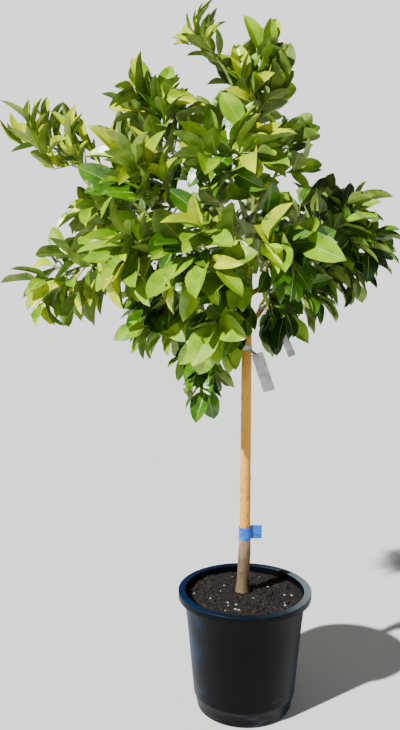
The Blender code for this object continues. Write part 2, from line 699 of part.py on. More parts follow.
def make_tape(trunk, grown_trunk, parts, cutters):
    """Grafting tape wound round the trunk above the graft, with its loose end pinched flat."""
    low = part_at_height(trunk, TAPE_LOW)
    high = part_at_height(trunk, TAPE_HIGH)
    tape = band("graft_tape", trunk, low, high, TAPE_THICK, TRUNK_RESOLUTION, parts, "tape")
    middle = trunk.at((low + high) / 2)[0]
    start = Vector((middle.x, middle.y, (TAPE_LOW + TAPE_END_LOW + TAPE_HIGH + TAPE_END_HIGH) / 2))
    height = TAPE_HIGH + TAPE_END_HIGH - TAPE_LOW - TAPE_END_LOW
    end = bar("tape_end", cutters, start, start + Vector((TAPE_END, 0, 0)), height, 2 * TAPE_THICK)
    cut(tape, end, "UNION")
    cut(tape, grown_trunk)


def make_label(label, limbs, grown, parts, cutters):
    """A strap closed round its limb, a narrow neck down from it and the blank tag below."""
    limb = limbs[label.limb]
    half = STRAP_WIDTH / 2 / limb.length
    resolution = TRUNK_RESOLUTION if label.limb == "trunk" else BOUGH_RESOLUTION
    made = band(label.name, limb, label.at - half, label.at + half, LABEL_THICK, resolution, parts, "label")
    top = Vector(label.top)
    bottom = Vector(label.bottom)
    neck_end = top.lerp(bottom, NECK_LAP)
    neck = bar(label.name + "_neck", cutters, limb.at(label.at)[0], neck_end, NECK_WIDTH, LABEL_THICK)
    tag = bar(label.name + "_tag", cutters, top, bottom, label.width, LABEL_THICK)
    cut(made, neck, "UNION")
    cut(made, tag, "UNION")
    cut(made, grown[label.limb])


def label_shapes(label, limbs, group):
    """The neck and tag of a label as shapes with a clearance all round, for leaves to keep off."""
    shapes = []
    start = limbs[label.limb].at(label.at)[0]
    for top, bottom, width in (
        (start, Vector(label.top), NECK_WIDTH),
        (Vector(label.top), Vector(label.bottom), label.width),
    ):
        grown = bar("label_clearance", group, top, bottom, width, LABEL_THICK, LEAF_CLEARANCE)
        points = [vertex.co.copy() for vertex in grown.data.vertices]
        shapes.append((points, [tuple(face.vertices) for face in grown.data.polygons]))
        bpy.data.objects.remove(grown)
    return shapes


def build():
    for old in list(bpy.data.objects):
        bpy.data.objects.remove(old)
    parts = collection(NAME)
    cutters = collection("cutters")
    make_pot(parts)
    make_soil(parts)
    limbs = all_limbs()
    limbs["trunk"].tube("trunk", parts, TRUNK_RESOLUTION, key="bark")
    grown = {}
    carriers = {bough.parent for bough in BOUGHS} | {label.limb for label in LABELS}
    for name in sorted(carriers):
        resolution = TRUNK_RESOLUTION if name == "trunk" else BOUGH_RESOLUTION
        grown[name] = limbs[name].tube(name + "_clearance", cutters, resolution, extra=GAP)
    make_tape(limbs["trunk"], grown["trunk"], parts, cutters)
    kept_clear = []
    for label in LABELS:
        make_label(label, limbs, grown, parts, cutters)
        kept_clear += label_shapes(label, limbs, cutters)
    for bough in BOUGHS:
        made = limbs[bough.name].tube("bough_" + bough.name, parts, BOUGH_RESOLUTION, key="bark")
        if bough.at < 1.0:
            cut(made, grown[bough.parent])
    masses = grow_crown(limbs, kept_clear)
    for bough in BOUGHS:
        joined_mass(bough, *masses[bough.name], parts)


if __name__ == "__main__":
    build()
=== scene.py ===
"""The looks of the potted persian lime tree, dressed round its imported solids."""

import json
import random
from collections import namedtuple
from math import atan, cos, exp, hypot, pi, radians, sin

import bmesh
import bpy
import numpy as np
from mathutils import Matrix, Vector, noise
from mathutils.bvhtree import BVHTree

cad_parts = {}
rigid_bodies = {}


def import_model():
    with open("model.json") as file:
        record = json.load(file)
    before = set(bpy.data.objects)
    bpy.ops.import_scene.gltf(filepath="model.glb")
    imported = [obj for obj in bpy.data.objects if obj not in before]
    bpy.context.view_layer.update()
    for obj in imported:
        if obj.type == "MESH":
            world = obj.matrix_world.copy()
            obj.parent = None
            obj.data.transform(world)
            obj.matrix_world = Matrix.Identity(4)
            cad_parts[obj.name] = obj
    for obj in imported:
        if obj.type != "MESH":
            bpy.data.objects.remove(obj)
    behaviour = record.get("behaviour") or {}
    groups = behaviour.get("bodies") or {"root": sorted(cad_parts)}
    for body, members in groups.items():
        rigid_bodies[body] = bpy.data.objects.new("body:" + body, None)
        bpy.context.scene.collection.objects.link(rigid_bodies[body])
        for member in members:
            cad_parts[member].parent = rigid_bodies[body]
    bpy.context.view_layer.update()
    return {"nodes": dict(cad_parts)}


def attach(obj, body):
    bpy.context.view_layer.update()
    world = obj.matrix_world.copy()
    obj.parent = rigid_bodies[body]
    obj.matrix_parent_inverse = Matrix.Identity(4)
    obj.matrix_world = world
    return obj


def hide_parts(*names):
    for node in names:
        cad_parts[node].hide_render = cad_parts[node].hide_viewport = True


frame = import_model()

# Pot
# A round nursery pot of black polypropylene, injection moulded with a drawn-in foot and a rim
# whose lip turns down. It is satin and a little scuffed low down, and its rim has a painted highlight.
POT_HEIGHT = 0.265
RIM_RADIUS = 0.1425
LIP_HEIGHT = 0.015
WALL = 0.0022
THROAT_RADIUS = 0.1295
SHOULDER_RADIUS = 0.1245
SHOULDER_HEIGHT = 0.205
FOOT_STEP_RADIUS = 0.1095
FOOT_STEP_HEIGHT = 0.036
FOOT_STEP = 0.0018
FOOT_RADIUS = 0.1025
FOOT_ROUND = 0.008
FLOOR = 0.003
RIM_ROUND = 0.0016
BEND = 0.004  # how far above and below a bend the wall is eased
EASE = 0.0004
POT_SIDES = 128
SCUFF_TOP = 0.09
# Where the painted sheen on the flanks begins and where it is full, sideways from the middle
SHEEN_FROM = 0.045
SHEEN_FULL = 0.105


def linear(colour):
    """An sRGB hex colour as the linear values that a shader takes."""
    parts = [int(colour[i : i + 2], 16) / 255 for i in (0, 2, 4)]
    return [c / 12.92 if c <= 0.04045 else ((c + 0.055) / 1.055) ** 2.4 for c in parts] + [1.0]


def every(millimetres):
    """The scale, as a whole number, of a pattern whose features are so many millimetres apart."""
    return round(1000 / millimetres)


def add_node(tree, kind, inputs=None, stops=(), into=None, **settings):
    """Adds a node with its settings, inputs, ramp stops with the two ends first, and the socket
    that its first output goes into. Returns its outputs."""
    made = tree.nodes.new(kind)
    for key, value in settings.items():
        setattr(made, key, value)
    for key, value in (inputs or {}).items():
        if isinstance(value, bpy.types.NodeSocket):
            tree.links.new(value, made.inputs[key])
        else:
            made.inputs[key].default_value = value
    for i, (position, colour) in enumerate(stops):
        ramp = made.color_ramp.elements
        stop = ramp[i] if i < 2 else ramp.new(position)
        stop.position = position
        stop.color = linear(colour)
    if into:
        tree.links.new(made.outputs[0], into)
    return made.outputs


def new_material(name, colour, roughness):
    """A material, and its surface: its tree, its shader and its object coordinates."""
    made = bpy.data.materials.new(name)
    made.use_nodes = True
    tree = made.node_tree
    shader = tree.nodes["Principled BSDF"]
    shader.inputs["Base Color"].default_value = linear(colour)
    shader.inputs["Roughness"].default_value = roughness
    return made, (tree, shader, add_node(tree, "ShaderNodeTexCoord")["Object"])


def mottle(surface, scale, detail, stops=(), relief=None, rough=0.5):
    """Blotches over a whole surface, in a few colours, as a relief, or as both."""
    tree, shader, place = surface
    pattern = {"Vector": place, "Scale": scale, "Detail": detail, "Roughness": rough}
    blotches = add_node(tree, "ShaderNodeTexNoise", pattern)["Fac"]
    if stops:
        add_node(tree, "ShaderNodeValToRGB", {"Fac": blotches}, stops, into=shader.inputs["Base Color"])
    if relief:
        strength, height = relief
        raised = {"Height": blotches, "Strength": strength, "Distance": height}
        add_node(tree, "ShaderNodeBump", raised, into=shader.inputs["Normal"])


def add_object(name, data):
    made = bpy.data.objects.new(name, data)
    bpy.context.scene.collection.objects.link(made)
    return made


def add_piece(name, mesh, slot_name, *materials):
    """A piece of the plant or the pot, riding on the one body."""
    made = add_object(name, mesh)
    for material in materials:
        mesh.materials.append(material)
    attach(made, "root")
    return made


def finished(name, bm, sharp):
    """The mesh of a closed bmesh, smooth but for edges that turn by more than so many degrees."""
    bmesh.ops.recalc_face_normals(bm, faces=bm.faces)
    mesh = bpy.data.meshes.new(name)
    bm.to_mesh(mesh)
    bm.free()
    mesh.shade_smooth()
    mesh.set_sharp_from_angle(angle=radians(sharp))
    return mesh


def turned_mesh(name, profile, sides):
    """A closed solid from (radius, height) points that start and end on the axis."""
    bm = bmesh.new()
    turns = [2 * pi * k / sides for k in range(sides)]
    rings = []
    for radius, height in profile:
        ring = [(radius * cos(t), radius * sin(t), height) for t in turns]
        rings.append([bm.verts.new(point) for point in (ring if radius else [(0, 0, height)])])
    for above, below in zip(rings, rings[1:]):
        for k in range(sides):
            corners = [above[k % len(above)], below[k % len(below)]]
            corners += [below[(k + 1) % len(below)], above[(k + 1) % len(above)]]
            bm.faces.new(list(dict.fromkeys(corners)))
    return finished(name, bm, sharp=40)


def pot_wall_radius(height):
    """The outside of the wall: straight from the foot's step to the shoulder, then to the throat."""
    if height >= SHOULDER_HEIGHT:
        share = (height - SHOULDER_HEIGHT) / (POT_HEIGHT - SHOULDER_HEIGHT)
        return SHOULDER_RADIUS + (THROAT_RADIUS - SHOULDER_RADIUS) * share
    share = (height - FOOT_STEP_HEIGHT) / (SHOULDER_HEIGHT - FOOT_STEP_HEIGHT)
    return FOOT_STEP_RADIUS + (SHOULDER_RADIUS - FOOT_STEP_RADIUS) * share


def arc(centre, radius, start, end, steps):
    """Points of a rounded corner in the profile, from one angle to another in degrees."""
    turns = [radians(start + (end - start) * i / steps) for i in range(steps + 1)]
    return [(centre[0] + radius * cos(t), centre[1] + radius * sin(t)) for t in turns]


def pot_profile():
    """Up the inside of the floor and wall, over the rim and its lip, and down the outside."""
    inside = FOOT_RADIUS - WALL
    return [
        (0.0, FLOOR),
        (inside - FOOT_ROUND, FLOOR),
        *arc((inside - FOOT_ROUND / 2, FLOOR + FOOT_ROUND / 2), FOOT_ROUND / 2, -90, 0, 4),
        (FOOT_STEP_RADIUS - FOOT_STEP - WALL, FOOT_STEP_HEIGHT),
        (SHOULDER_RADIUS - WALL, SHOULDER_HEIGHT),
        *arc((THROAT_RADIUS - WALL + RIM_ROUND, POT_HEIGHT - RIM_ROUND), RIM_ROUND, 180, 90, 5),
        *arc((RIM_RADIUS - RIM_ROUND, POT_HEIGHT - RIM_ROUND), RIM_ROUND, 90, 0, 6),
        *arc((RIM_RADIUS - WALL / 2, POT_HEIGHT - LIP_HEIGHT + WALL / 2), WALL / 2, 0, -180, 6),
        (RIM_RADIUS - WALL, POT_HEIGHT - 2 * WALL),
        (THROAT_RADIUS + 2.5 * EASE, POT_HEIGHT - 1.6 * WALL),
        (THROAT_RADIUS - EASE, POT_HEIGHT - 3 * WALL),
        (SHOULDER_RADIUS + 2 * EASE, SHOULDER_HEIGHT + BEND),
        (SHOULDER_RADIUS, SHOULDER_HEIGHT),
        (SHOULDER_RADIUS - 1.5 * EASE, SHOULDER_HEIGHT - BEND),
        (FOOT_STEP_RADIUS + EASE, FOOT_STEP_HEIGHT + BEND),
        (FOOT_STEP_RADIUS, FOOT_STEP_HEIGHT),
        (FOOT_STEP_RADIUS - FOOT_STEP, FOOT_STEP_HEIGHT - FOOT_STEP),
        (FOOT_RADIUS, FOOT_ROUND),
        *arc((FOOT_RADIUS - FOOT_ROUND, FOOT_ROUND), FOOT_ROUND, 0, -90, 8)[1:],
        (0.0, 0.0),
    ]


# Injection-moulded polypropylene: near-black, satin, with a fine grain and a painted blue sheen on
# its flanks. Handling has scuffed it low down, and the top of its rim has a painted highlight that runs from
# blue at the left to grey at the right
pot_plastic, (tree, shader, spot) = new_material("moulded_black_polypropylene", "0B1018", 0.42)
shader.inputs["Specular IOR Level"].default_value = 0.10
axes = add_node(tree, "ShaderNodeSeparateXYZ", {"Vector": spot})
flat = add_node(tree, "ShaderNodeMapping", {"Vector": spot, "Scale": (every(71.4), every(71.4), every(16.7))})
scuffs = add_node(tree, "ShaderNodeTexNoise", {"Vector": flat[0], "Scale": 1.0, "Detail": 6.0})
scuff_line = add_node(
    tree, "ShaderNodeValToRGB", {"Fac": scuffs["Fac"]}, [(0.56, "000000"), (0.72, "FFFFFF")]
)
low_down = add_node(
    tree, "ShaderNodeMapRange", {"Value": axes["Z"], "From Min": SCUFF_TOP, "From Max": 0.0, "To Max": 0.8}
)
scuffed = add_node(tree, "ShaderNodeMath", {0: scuff_line[0], 1: low_down[0]}, operation="MULTIPLY")
# Painted sheen: blotches of blue painted on the pot's left and right flanks, over its near-black body
sideways = add_node(tree, "ShaderNodeMath", {0: axes["X"]}, operation="ABSOLUTE")
painted_sheen_side = add_node(
    tree, "ShaderNodeMapRange", {"Value": sideways[0], "From Min": SHEEN_FROM, "From Max": SHEEN_FULL}
)
sheen_noise = add_node(tree, "ShaderNodeTexNoise", {"Vector": spot, "Scale": every(58.8), "Detail": 3.0})
sheen_patch = add_node(tree, "ShaderNodeMath", {0: sheen_noise["Fac"], 1: painted_sheen_side[0]}, operation="MULTIPLY")
body_and_painted_sheen = add_node(
    tree, "ShaderNodeValToRGB", {"Fac": sheen_patch[0]}, [(0.28, "010203"), (0.70, "062238"), (0.50, "020C18")]
)
scuffs_and_sheen = add_node(
    tree, "ShaderNodeMix", {"Factor": scuffed[0], 6: body_and_painted_sheen[0], 7: linear("39434E")}, data_type="RGBA"
)
# Painted highlight: the top of the rim is painted blue at the left and grey at the right
rim_high = add_node(
    tree, "ShaderNodeMapRange",
    {"Value": axes["Z"], "From Min": POT_HEIGHT - WALL, "From Max": POT_HEIGHT - 0.0005},
)
around = add_node(tree, "ShaderNodeMapRange", {"Value": axes["X"], "From Min": -0.13, "From Max": 0.14})
rim_painted_highlight = add_node(
    tree, "ShaderNodeValToRGB", {"Fac": around[0]},
    [(0.0, "04203F"), (1.0, "6C7478"), (0.50, "04121F"), (0.76, "242E36")],
)
whole = add_node(
    tree, "ShaderNodeMix", {"Factor": rim_high[0], 6: scuffs_and_sheen[2], 7: rim_painted_highlight[0]}, data_type="RGBA"
)
tree.links.new(whole[2], shader.inputs["Base Color"])
# The moulded grain is under a millimetre wide, and is drawn coarser so that it shows
mottle((tree, shader, spot), every(2.38), 3.0, relief=(0.06, 0.0005))

pot_mesh = turned_mesh("nursery_pot", pot_profile(), POT_SIDES)
pot = add_piece("nursery_pot", pot_mesh, "pot_plastic", pot_plastic)
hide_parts("pot")

# Potting mix
# Damp composted bark, dark and fibrous, heaped a little round the stem. In its surface lie bark
# chips 7 to 16 mm long, fibres of 9 to 22 mm and white grains of perlite of 3 to 8 mm.
SOIL_HEIGHT = 0.252
SOIL_MOUND = 0.004
MOUND_RADIUS = 0.034
SOIL_RINGS = 46
SOIL_SIDES = 120
SOIL_GAP = 0.0006
SOIL_SEAT = 0.0004  # how far the mix stays from the shoulder and the floor
LUMP_HEIGHT = 0.0032
LUMPS_PER_METRE = 95
CRUMBS_PER_METRE = 260


def soil_surface(x, y):
    """The height of the mix at a place: its mound, and lumps of about 10 mm and 4 mm."""
    reach = hypot(x, y)
    mound = SOIL_MOUND * max(0.0, min(1.0, 2 - reach / MOUND_RADIUS))
    lumps = noise.noise(Vector((x * LUMPS_PER_METRE, y * LUMPS_PER_METRE, 1.0)))
    lumps += 0.5 * noise.noise(Vector((x * CRUMBS_PER_METRE, y * CRUMBS_PER_METRE, 4.0)))
    return SOIL_HEIGHT - 0.002 + mound + LUMP_HEIGHT * lumps


def soil_mesh():
    """A closed body: the lumpy top in rings, then the wall and the underside inside the pot."""
    edge = pot_wall_radius(SOIL_HEIGHT) - WALL - SOIL_GAP
    profile = [(edge * i / SOIL_RINGS, SOIL_HEIGHT) for i in range(SOIL_RINGS + 1)]
    profile += [(SHOULDER_RADIUS - WALL - SOIL_SEAT, SHOULDER_HEIGHT)]
    profile += [(FOOT_RADIUS - WALL - 0.002, FLOOR + FOOT_ROUND)]
    profile += [(FOOT_RADIUS - 0.012, FLOOR + SOIL_SEAT), (0.0, FLOOR + SOIL_SEAT)]
    mesh = turned_mesh("potting_mix_body", profile, SOIL_SIDES)
    for vertex in mesh.vertices:
        if vertex.co.z > SOIL_HEIGHT - 0.001:
            vertex.co.z = soil_surface(vertex.co.x, vertex.co.y)
    return mesh


# Wet bark compost: matt and dark; its colour follows its relief, so its hollows carry painted shade, almost
# black, and its chips and fibres are brown and grey-brown
compost, surface = new_material("damp_bark_compost", "241812", 0.92)
browns_and_hollow_shade = [(0.36, "020101"), (0.76, "2C1B10"), (0.52, "070403"), (0.64, "120A06")]
mottle(surface, every(5.26), 8.0, browns_and_hollow_shade, (0.8, 0.002), rough=0.7)

mix = add_piece("potting_mix_body", soil_mesh(), "potting_mix", compost)
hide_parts("potting_mix")

# A grain is a squashed ball that lies nearly flat, and a fibre is a thin rod on its side. Each has
# the node that makes it, its sizes there, and the least and the most that it tips, in radians
GRAIN = ("GeometryNodeMeshIcoSphere", {"Radius": 1.0, "Subdivisions": 1}, (-0.5, -0.5), (0.5, 0.5))
ROD = {"Vertices": 5, "Radius": 0.12, "Depth": 2.0}
FIBRE = ("GeometryNodeMeshCylinder", ROD, (1.2, -0.4), (1.9, 0.4))
HALF_TURN = 3.1
SMALLEST = 0.5  # of a piece's size
LARGEST = 1.2


def scatter_tree(name, kind, squash, seed, material):
    """A Geometry Nodes tree that strews grains of one kind over a surface, each turned at random."""
    tree = bpy.data.node_groups.new(name, "GeometryNodeTree")
    for label, way, sort in (
        ("Geometry", "INPUT", "Geometry"),
        ("Density", "INPUT", "Float"),
        ("Size", "INPUT", "Float"),
        ("Geometry", "OUTPUT", "Geometry"),
    ):
        tree.interface.new_socket(label, in_out=way, socket_type="NodeSocket" + sort)
    given = add_node(tree, "NodeGroupInput")
    points = add_node(
        tree, "GeometryNodeDistributePointsOnFaces",
        {"Mesh": given["Geometry"], "Density": given["Density"], "Seed": seed},
    )
    maker, measures, least, most = kind
    shape = add_node(tree, maker, measures)
    turn = add_node(
        tree, "FunctionNodeRandomValue",
        {"Min": (*least, -HALF_TURN), "Max": (*most, HALF_TURN), "Seed": seed}, data_type="FLOAT_VECTOR",
    )
    small = tuple(SMALLEST * s for s in squash)
    large = tuple(LARGEST * s for s in squash)
    sizes = add_node(
        tree, "FunctionNodeRandomValue", {"Min": small, "Max": large, "Seed": seed + 1},
        data_type="FLOAT_VECTOR",
    )
    scaled = add_node(
        tree, "ShaderNodeVectorMath", {0: sizes["Value"], "Scale": given["Size"]}, operation="SCALE"
    )
    sown = {"Points": points["Points"], "Instance": shape["Mesh"]}
    sown |= {"Rotation": turn["Value"], "Scale": scaled[0]}
    placed = add_node(tree, "GeometryNodeInstanceOnPoints", sown)
    real = add_node(tree, "GeometryNodeRealizeInstances", {"Geometry": placed["Instances"]})
    painted = add_node(
        tree, "GeometryNodeSetMaterial", {"Geometry": real["Geometry"], "Material": material}
    )
    add_node(tree, "NodeGroupOutput", {"Geometry": painted["Geometry"]})
    return tree


def scattered(name, ground, material, kind, density, size, squash, seed):
    """The strewn grains as a piece of their own, so many to a square metre, of a size in metres."""
    carrier = add_object(name + "_carrier", ground)
    strewn = carrier.modifiers.new("Strewn", "NODES")
    strewn.node_group = scatter_tree(name, kind, squash, seed, material)
    values = {"Density": density, "Size": size}
    for item in strewn.node_group.interface.items_tree:
        if item.name in values:
            strewn[item.identifier] = values[item.name]
    graph = bpy.context.evaluated_depsgraph_get()
    mesh = bpy.data.meshes.new_from_object(carrier.evaluated_get(graph))
    mesh.name = name
    carrier.modifiers.remove(strewn)
    bpy.data.objects.remove(carrier)
    add_piece(name, mesh, "potting_mix")


def open_top():
    """The top of the mix as an open surface, clear of the stem and of the pot's wall."""
    bm = bmesh.new()
    bm.from_mesh(mix.data)
    low = SOIL_HEIGHT - 2.5 * LUMP_HEIGHT
    reach = pot_wall_radius(SOIL_HEIGHT) - WALL - 0.005
    middles = {face: face.calc_center_median() for face in bm.faces}
    spare = [face for face, spot in middles.items() if spot.z < low or spot.xy.length > reach]
    bmesh.ops.delete(bm, geom=spare, context="FACES")
    mesh = bpy.data.meshes.new("open_top")
    bm.to_mesh(mesh)
    bm.free()
    return mesh


# Dry bark chips are redder than the mix; perlite is a chalky volcanic glass; fibres are pale coir
chip_bark, surface = new_material("pine_bark_chip", "4A3226", 0.85)
mottle(surface, every(8.33), 4.0, [(0.38, "060302"), (0.74, "472818"), (0.55, "150C07")])
perlite, surface = new_material("expanded_perlite", "A9A79E", 0.90)
# Its pores are drawn a few times coarser than they are
mottle(surface, every(1.111), 2.0, relief=(0.6, 0.0005))
coir, surface = new_material("coir_fibre", "6E5440", 0.85)
mottle(surface, every(3.33), 2.0, [(0.42, "1A100A"), (0.68, "6E4E34")])

open_mix = open_top()
scattered("bark_chips", open_mix, chip_bark, GRAIN, 9000.0, 0.0052, (1.3, 0.8, 0.35), 11)
scattered("perlite_grains", open_mix, perlite, GRAIN, 330.0, 0.0030, (1.1, 0.8, 0.8), 23)
scattered("coir_fibres", open_mix, coir, FIBRE, 3800.0, 0.0090, (0.7, 0.7, 1.0), 37)

# Trunk and boughs
# A grafted stem: a grey-brown rootstock with a bulge at the graft, then smooth yellow-tan wood
# with leaf scars, turning green in the young boughs. Each bough is one tapering limb.
GAP = 0.0003
UP = Vector((0, 0, 1))
TRUNK_FOOT = Vector((-0.004, 0.010, SOIL_HEIGHT + SOIL_MOUND + GAP))
GRAFT = Vector((0.000, 0.011, 0.362))
FORK = Vector((0.000, 0.008, 0.848))
FLARE_RADIUS = 0.0165
FLARE_HEIGHT = 0.035
ROOTSTOCK_RADIUS = 0.0130
GRAFT_RADIUS = 0.0138
GRAFT_LENGTH = 0.055  # how far the bulge reaches up and down
STEM_RADIUS = 0.0115
FORK_RADIUS = 0.0100
TAPE_HIGH = 0.400
STEM_TIP_RADIUS = 0.0028
STEM_RADIUS_AT_FOOT = 0.0034
STEM_STEPS = 3
STEM_BEND = 0.4  # the part of its length that a stem keeps to its bough's direction
BOUGH_TIP_RADIUS = 0.0030
THICKEST_FORK = 0.85  # a bough's foot as a part of its parent's thickness there
BOUGH_STEP = 0.055
BOUGH_TAPER = 0.8
# Lengths in millimetres: name, limb it grows from, place along that limb, its tip, diameter at its
# foot, bow of its middle as a part of its length, then the mass of leaves: where its stem ends, how
# far leaves stand out from the stem, their length and number, and how they point, from 1 for
# upright to -1 for hanging
Bough = namedtuple("Bough", "name parent at tip foot bow end spread leaf leaves lift")
BOUGHS = []
for row in (
    ("leader", "trunk", 1.0, (0, 20, 1220), 19, 0.05, (60, 8, 1335), 110, 82, 32, 0.7),
    ("left_low", "trunk", 0.95, (180, 250, 945), 12, -0.1, (178, 415, 910), 105, 84, 30, -0.7),
    ("right_tip", "leader", 0.12, (347, 135, 995), 11, -0.06, (352, 245, 1000), 85, 78, 22, -0.1),
    ("back_low", "trunk", 0.97, (125, 140, 885), 10, -0.1, (120, 260, 850), 135, 94, 24, -0.4),
    ("front_mid", "leader", 0.05, (254, 100, 960), 10, -0.08, (248, 280, 985), 130, 98, 28, -0.4),
    ("upper_left", "leader", 0.21, (180, 280, 1120), 11, -0.06, (184, 415, 1200), 105, 76, 28, 0.8),
    ("back_mid", "leader", 0.16, (98, 140, 1005), 9.5, -0.06, (88, 280, 1035), 135, 94, 24, 0.0),
    ("upper_mid", "leader", 0.45, (190, 135, 1160), 9, -0.06, (194, 200, 1280), 105, 82, 28, 0.5),
    ("back_upper", "leader", 0.62, (110, 100, 1130), 8, -0.06, (100, 185, 1250), 125, 90, 24, 0.3),
    ("front_upper", "leader", 0.5, (250, 85, 1100), 8, -0.06, (258, 205, 1165), 120, 88, 26, 0.1),
    ("arch", "leader", 0.88, (222, 46, 1300), 7, -0.04, (206, 120, 1390), 80, 62, 17, 0.9),
    ("upper_right", "leader", 0.58, (325, 55, 1120), 7.5, -0.06, (335, 78, 1205), 90, 78, 17, 0.3),
    ("left_mid", "upper_left", 0.45, (186, 200, 1040), 7.5, 0.05, (187, 315, 1070), 90, 80, 20, 0.2),
    ("upper_side", "upper_left", 0.55, (178, 190, 1120), 7.5, 0.05, (176, 250, 1185), 95, 82, 18, 0.4),
    ("upper_inner", "upper_mid", 0.45, (211, 150, 1075), 7.5, 0.05, (212, 265, 1135), 105, 88, 26, 0.2),
    ("front_left", "front_mid", 0.6, (215, 170, 990), 7.5, 0.05, (222, 300, 985), 110, 92, 24, -0.3),
    ("bottom_left", "left_low", 0.28, (192, 115, 875), 7.5, 0.1, (194, 200, 865), 110, 86, 24, -0.7),
    ("bottom_centre", "trunk", 0.91, (218, 66, 815), 7.5, 0.1, (212, 108, 725), 85, 82, 18, -0.8),
    ("front_low", "trunk", 0.93, (256, 80, 880), 8, 0.06, (247, 185, 845), 105, 95, 18, -0.7),
    ("front_right", "right_tip", 0.3, (285, 105, 980), 7.5, 0.05, (282, 240, 995), 110, 92, 22, -0.2),
    ("right_upper", "right_tip", 0.45, (2, 140, 1025), 7.5, 0.04, (0, 220, 1065), 75, 72, 15, 0.1),
    ("right_low", "right_tip", 0.62, (10, 110, 965), 7.5, 0.04, (10, 215, 945), 90, 82, 20, -0.6),
    ("right_hanging", "trunk", 0.95, (345, 80, 925), 7.5, 0.06, (343, 135, 900), 85, 78, 15, -0.7),
    ("low_right", "trunk", 0.925, (310, 60, 905), 7.5, 0.06, (303, 95, 860), 95, 84, 17, -0.7),
    ("back_left", "back_low", 0.45, (145, 200, 985), 7.5, 0.04, (146, 335, 1040), 125, 94, 26, 0.0),
    ("back_right", "back_mid", 0.4, (55, 150, 1000), 7.5, 0.04, (50, 280, 1040), 125, 94, 26, 0.0),
):
    bough = Bough(*row)
    bough = bough._replace(foot=bough.foot / 1000, spread=bough.spread / 1000, leaf=bough.leaf / 1000)
    BOUGHS.append(bough)


def place(azimuth, reach, height):
    """A point of the crown from its azimuth, its reach from the pot's axis and its height, in mm."""
    turn = radians(azimuth)
    return Vector((reach / 1000 * cos(turn), reach / 1000 * sin(turn), height / 1000))


def quadratic(start, middle, end, t):
    return start * (1 - t) ** 2 + middle * 2 * t * (1 - t) + end * t**2


class Limb:
    """A tapering path: points with a radius at each."""

    def __init__(self, points, radii):
        self.points = points
        self.radii = radii
        self.lengths = [(b - a).length for a, b in zip(points, points[1:])]
        self.length = sum(self.lengths)

    def at(self, part):
        """The point, direction and radius at a part of the length, from 0 to 1."""
        left = part * self.length
        for i, step in enumerate(self.lengths):
            if left <= step or i == len(self.lengths) - 1:
                share = min(left / step, 1.0)
                point = self.points[i].lerp(self.points[i + 1], share)
                radius = self.radii[i] * (1 - share) + self.radii[i + 1] * share
                return point, (self.points[i + 1] - self.points[i]).normalized(), radius
            left -= step


def trunk_radius(height):
    """The foot's flare, the rootstock with its graft bulge, then the stem's slow taper."""
    rise = height - TRUNK_FOOT.z
    if height < GRAFT.z:
        radius = ROOTSTOCK_RADIUS
    else:
        share = (height - GRAFT.z) / (FORK.z - GRAFT.z)
        radius = STEM_RADIUS + (FORK_RADIUS - STEM_RADIUS) * share
    flare = max(0.0, 1 - rise / FLARE_HEIGHT)
    bulge = max(0.0, 1 - abs(height - GRAFT.z) / GRAFT_LENGTH)
    return radius + (FLARE_RADIUS - ROOTSTOCK_RADIUS) * flare**2 + (GRAFT_RADIUS - ROOTSTOCK_RADIUS) * bulge


def trunk_limb():
    """The trunk's middle line, upright at its flat foot and bent a little at the graft."""
    rises = [0.0, 0.008, 0.018, FLARE_HEIGHT, 0.075, GRAFT.z - TRUNK_FOOT.z]
    heights = [TRUNK_FOOT.z + rise for rise in rises]
    heights += [GRAFT.z + 0.012, TAPE_HIGH, GRAFT.z + GRAFT_LENGTH, 0.55, 0.70, FORK.z]
    points = []
    for height in heights:
        if height <= GRAFT.z:
            share = max(0.0, (height - heights[1]) / (GRAFT.z - heights[1]))
            line = TRUNK_FOOT.lerp(GRAFT, share)
        else:
            line = GRAFT.lerp(FORK, (height - GRAFT.z) / (FORK.z - GRAFT.z))
        points.append(Vector((line.x, line.y, height)))
    return Limb(points, [trunk_radius(height) for height in heights])


def bough_limb(bough, parent):
    """One bough as a bowed, tapering path from its parent's middle line to its tip."""
    start, along, radius = parent.at(bough.at)
    foot = bough.foot / 2
    points = [start]
    if bough.at == 1.0:
        points = [start + along * GAP]
        start = points[0] + along * foot
        points.append(start)
    else:
        foot = min(foot, THICKEST_FORK * radius)
    tip = place(*bough.tip)
    span = tip - start
    middle = start + span / 2 + UP * bough.bow * span.length
    steps = max(3, round(span.length / BOUGH_STEP))
    points += [quadratic(start, middle, tip, i / steps) for i in range(1, steps + 1)]
    last = len(points) - 1
    radii = [foot + (BOUGH_TIP_RADIUS - foot) * (i / last) ** BOUGH_TAPER for i in range(last + 1)]
    return Limb(points, radii)


def stem_limb(bough, limb):
    """The stem that a mass grows on: it runs on from the bough's tip and bends to its own end."""
    tip = limb.points[-1]
    along = (tip - limb.points[-2]).normalized()
    foot = tip + along * GAP
    start = foot + along * BOUGH_TIP_RADIUS
    end = place(*bough.end)
    middle = start + along * (end - start).length * STEM_BEND
    points = [foot] + [quadratic(start, middle, end, i / STEM_STEPS) for i in range(STEM_STEPS + 1)]
    last = len(points) - 1
    taper = (STEM_TIP_RADIUS - STEM_RADIUS_AT_FOOT) / last
    radii = [STEM_RADIUS_AT_FOOT + taper * i for i in range(last + 1)]
    return Limb(points, radii)


def side_of(direction):
    """A unit vector square to a direction."""
    helper = UP if abs(direction.z) < 0.9 else Vector((1, 0, 0))
    return direction.cross(helper).normalized()


GOLDEN_ANGLE = radians(137.5)
BARK_RING = 0.0035
TRUNK_SIDES = 28
BOUGH_SIDES = 12
RIDGES = (2.2, 26, 0.045)  # how close they are round a limb and along it, and their height
DIMPLES = (420, 260, 0.022)  # the same across and along, heights being parts of the radius
SCAR_HEIGHT = 0.10
SCAR_LENGTH = 0.0035
SCAR_SPACING = 0.034
LIMB_SHIFT = 1.7  # sets the relief of one limb apart from the next one's


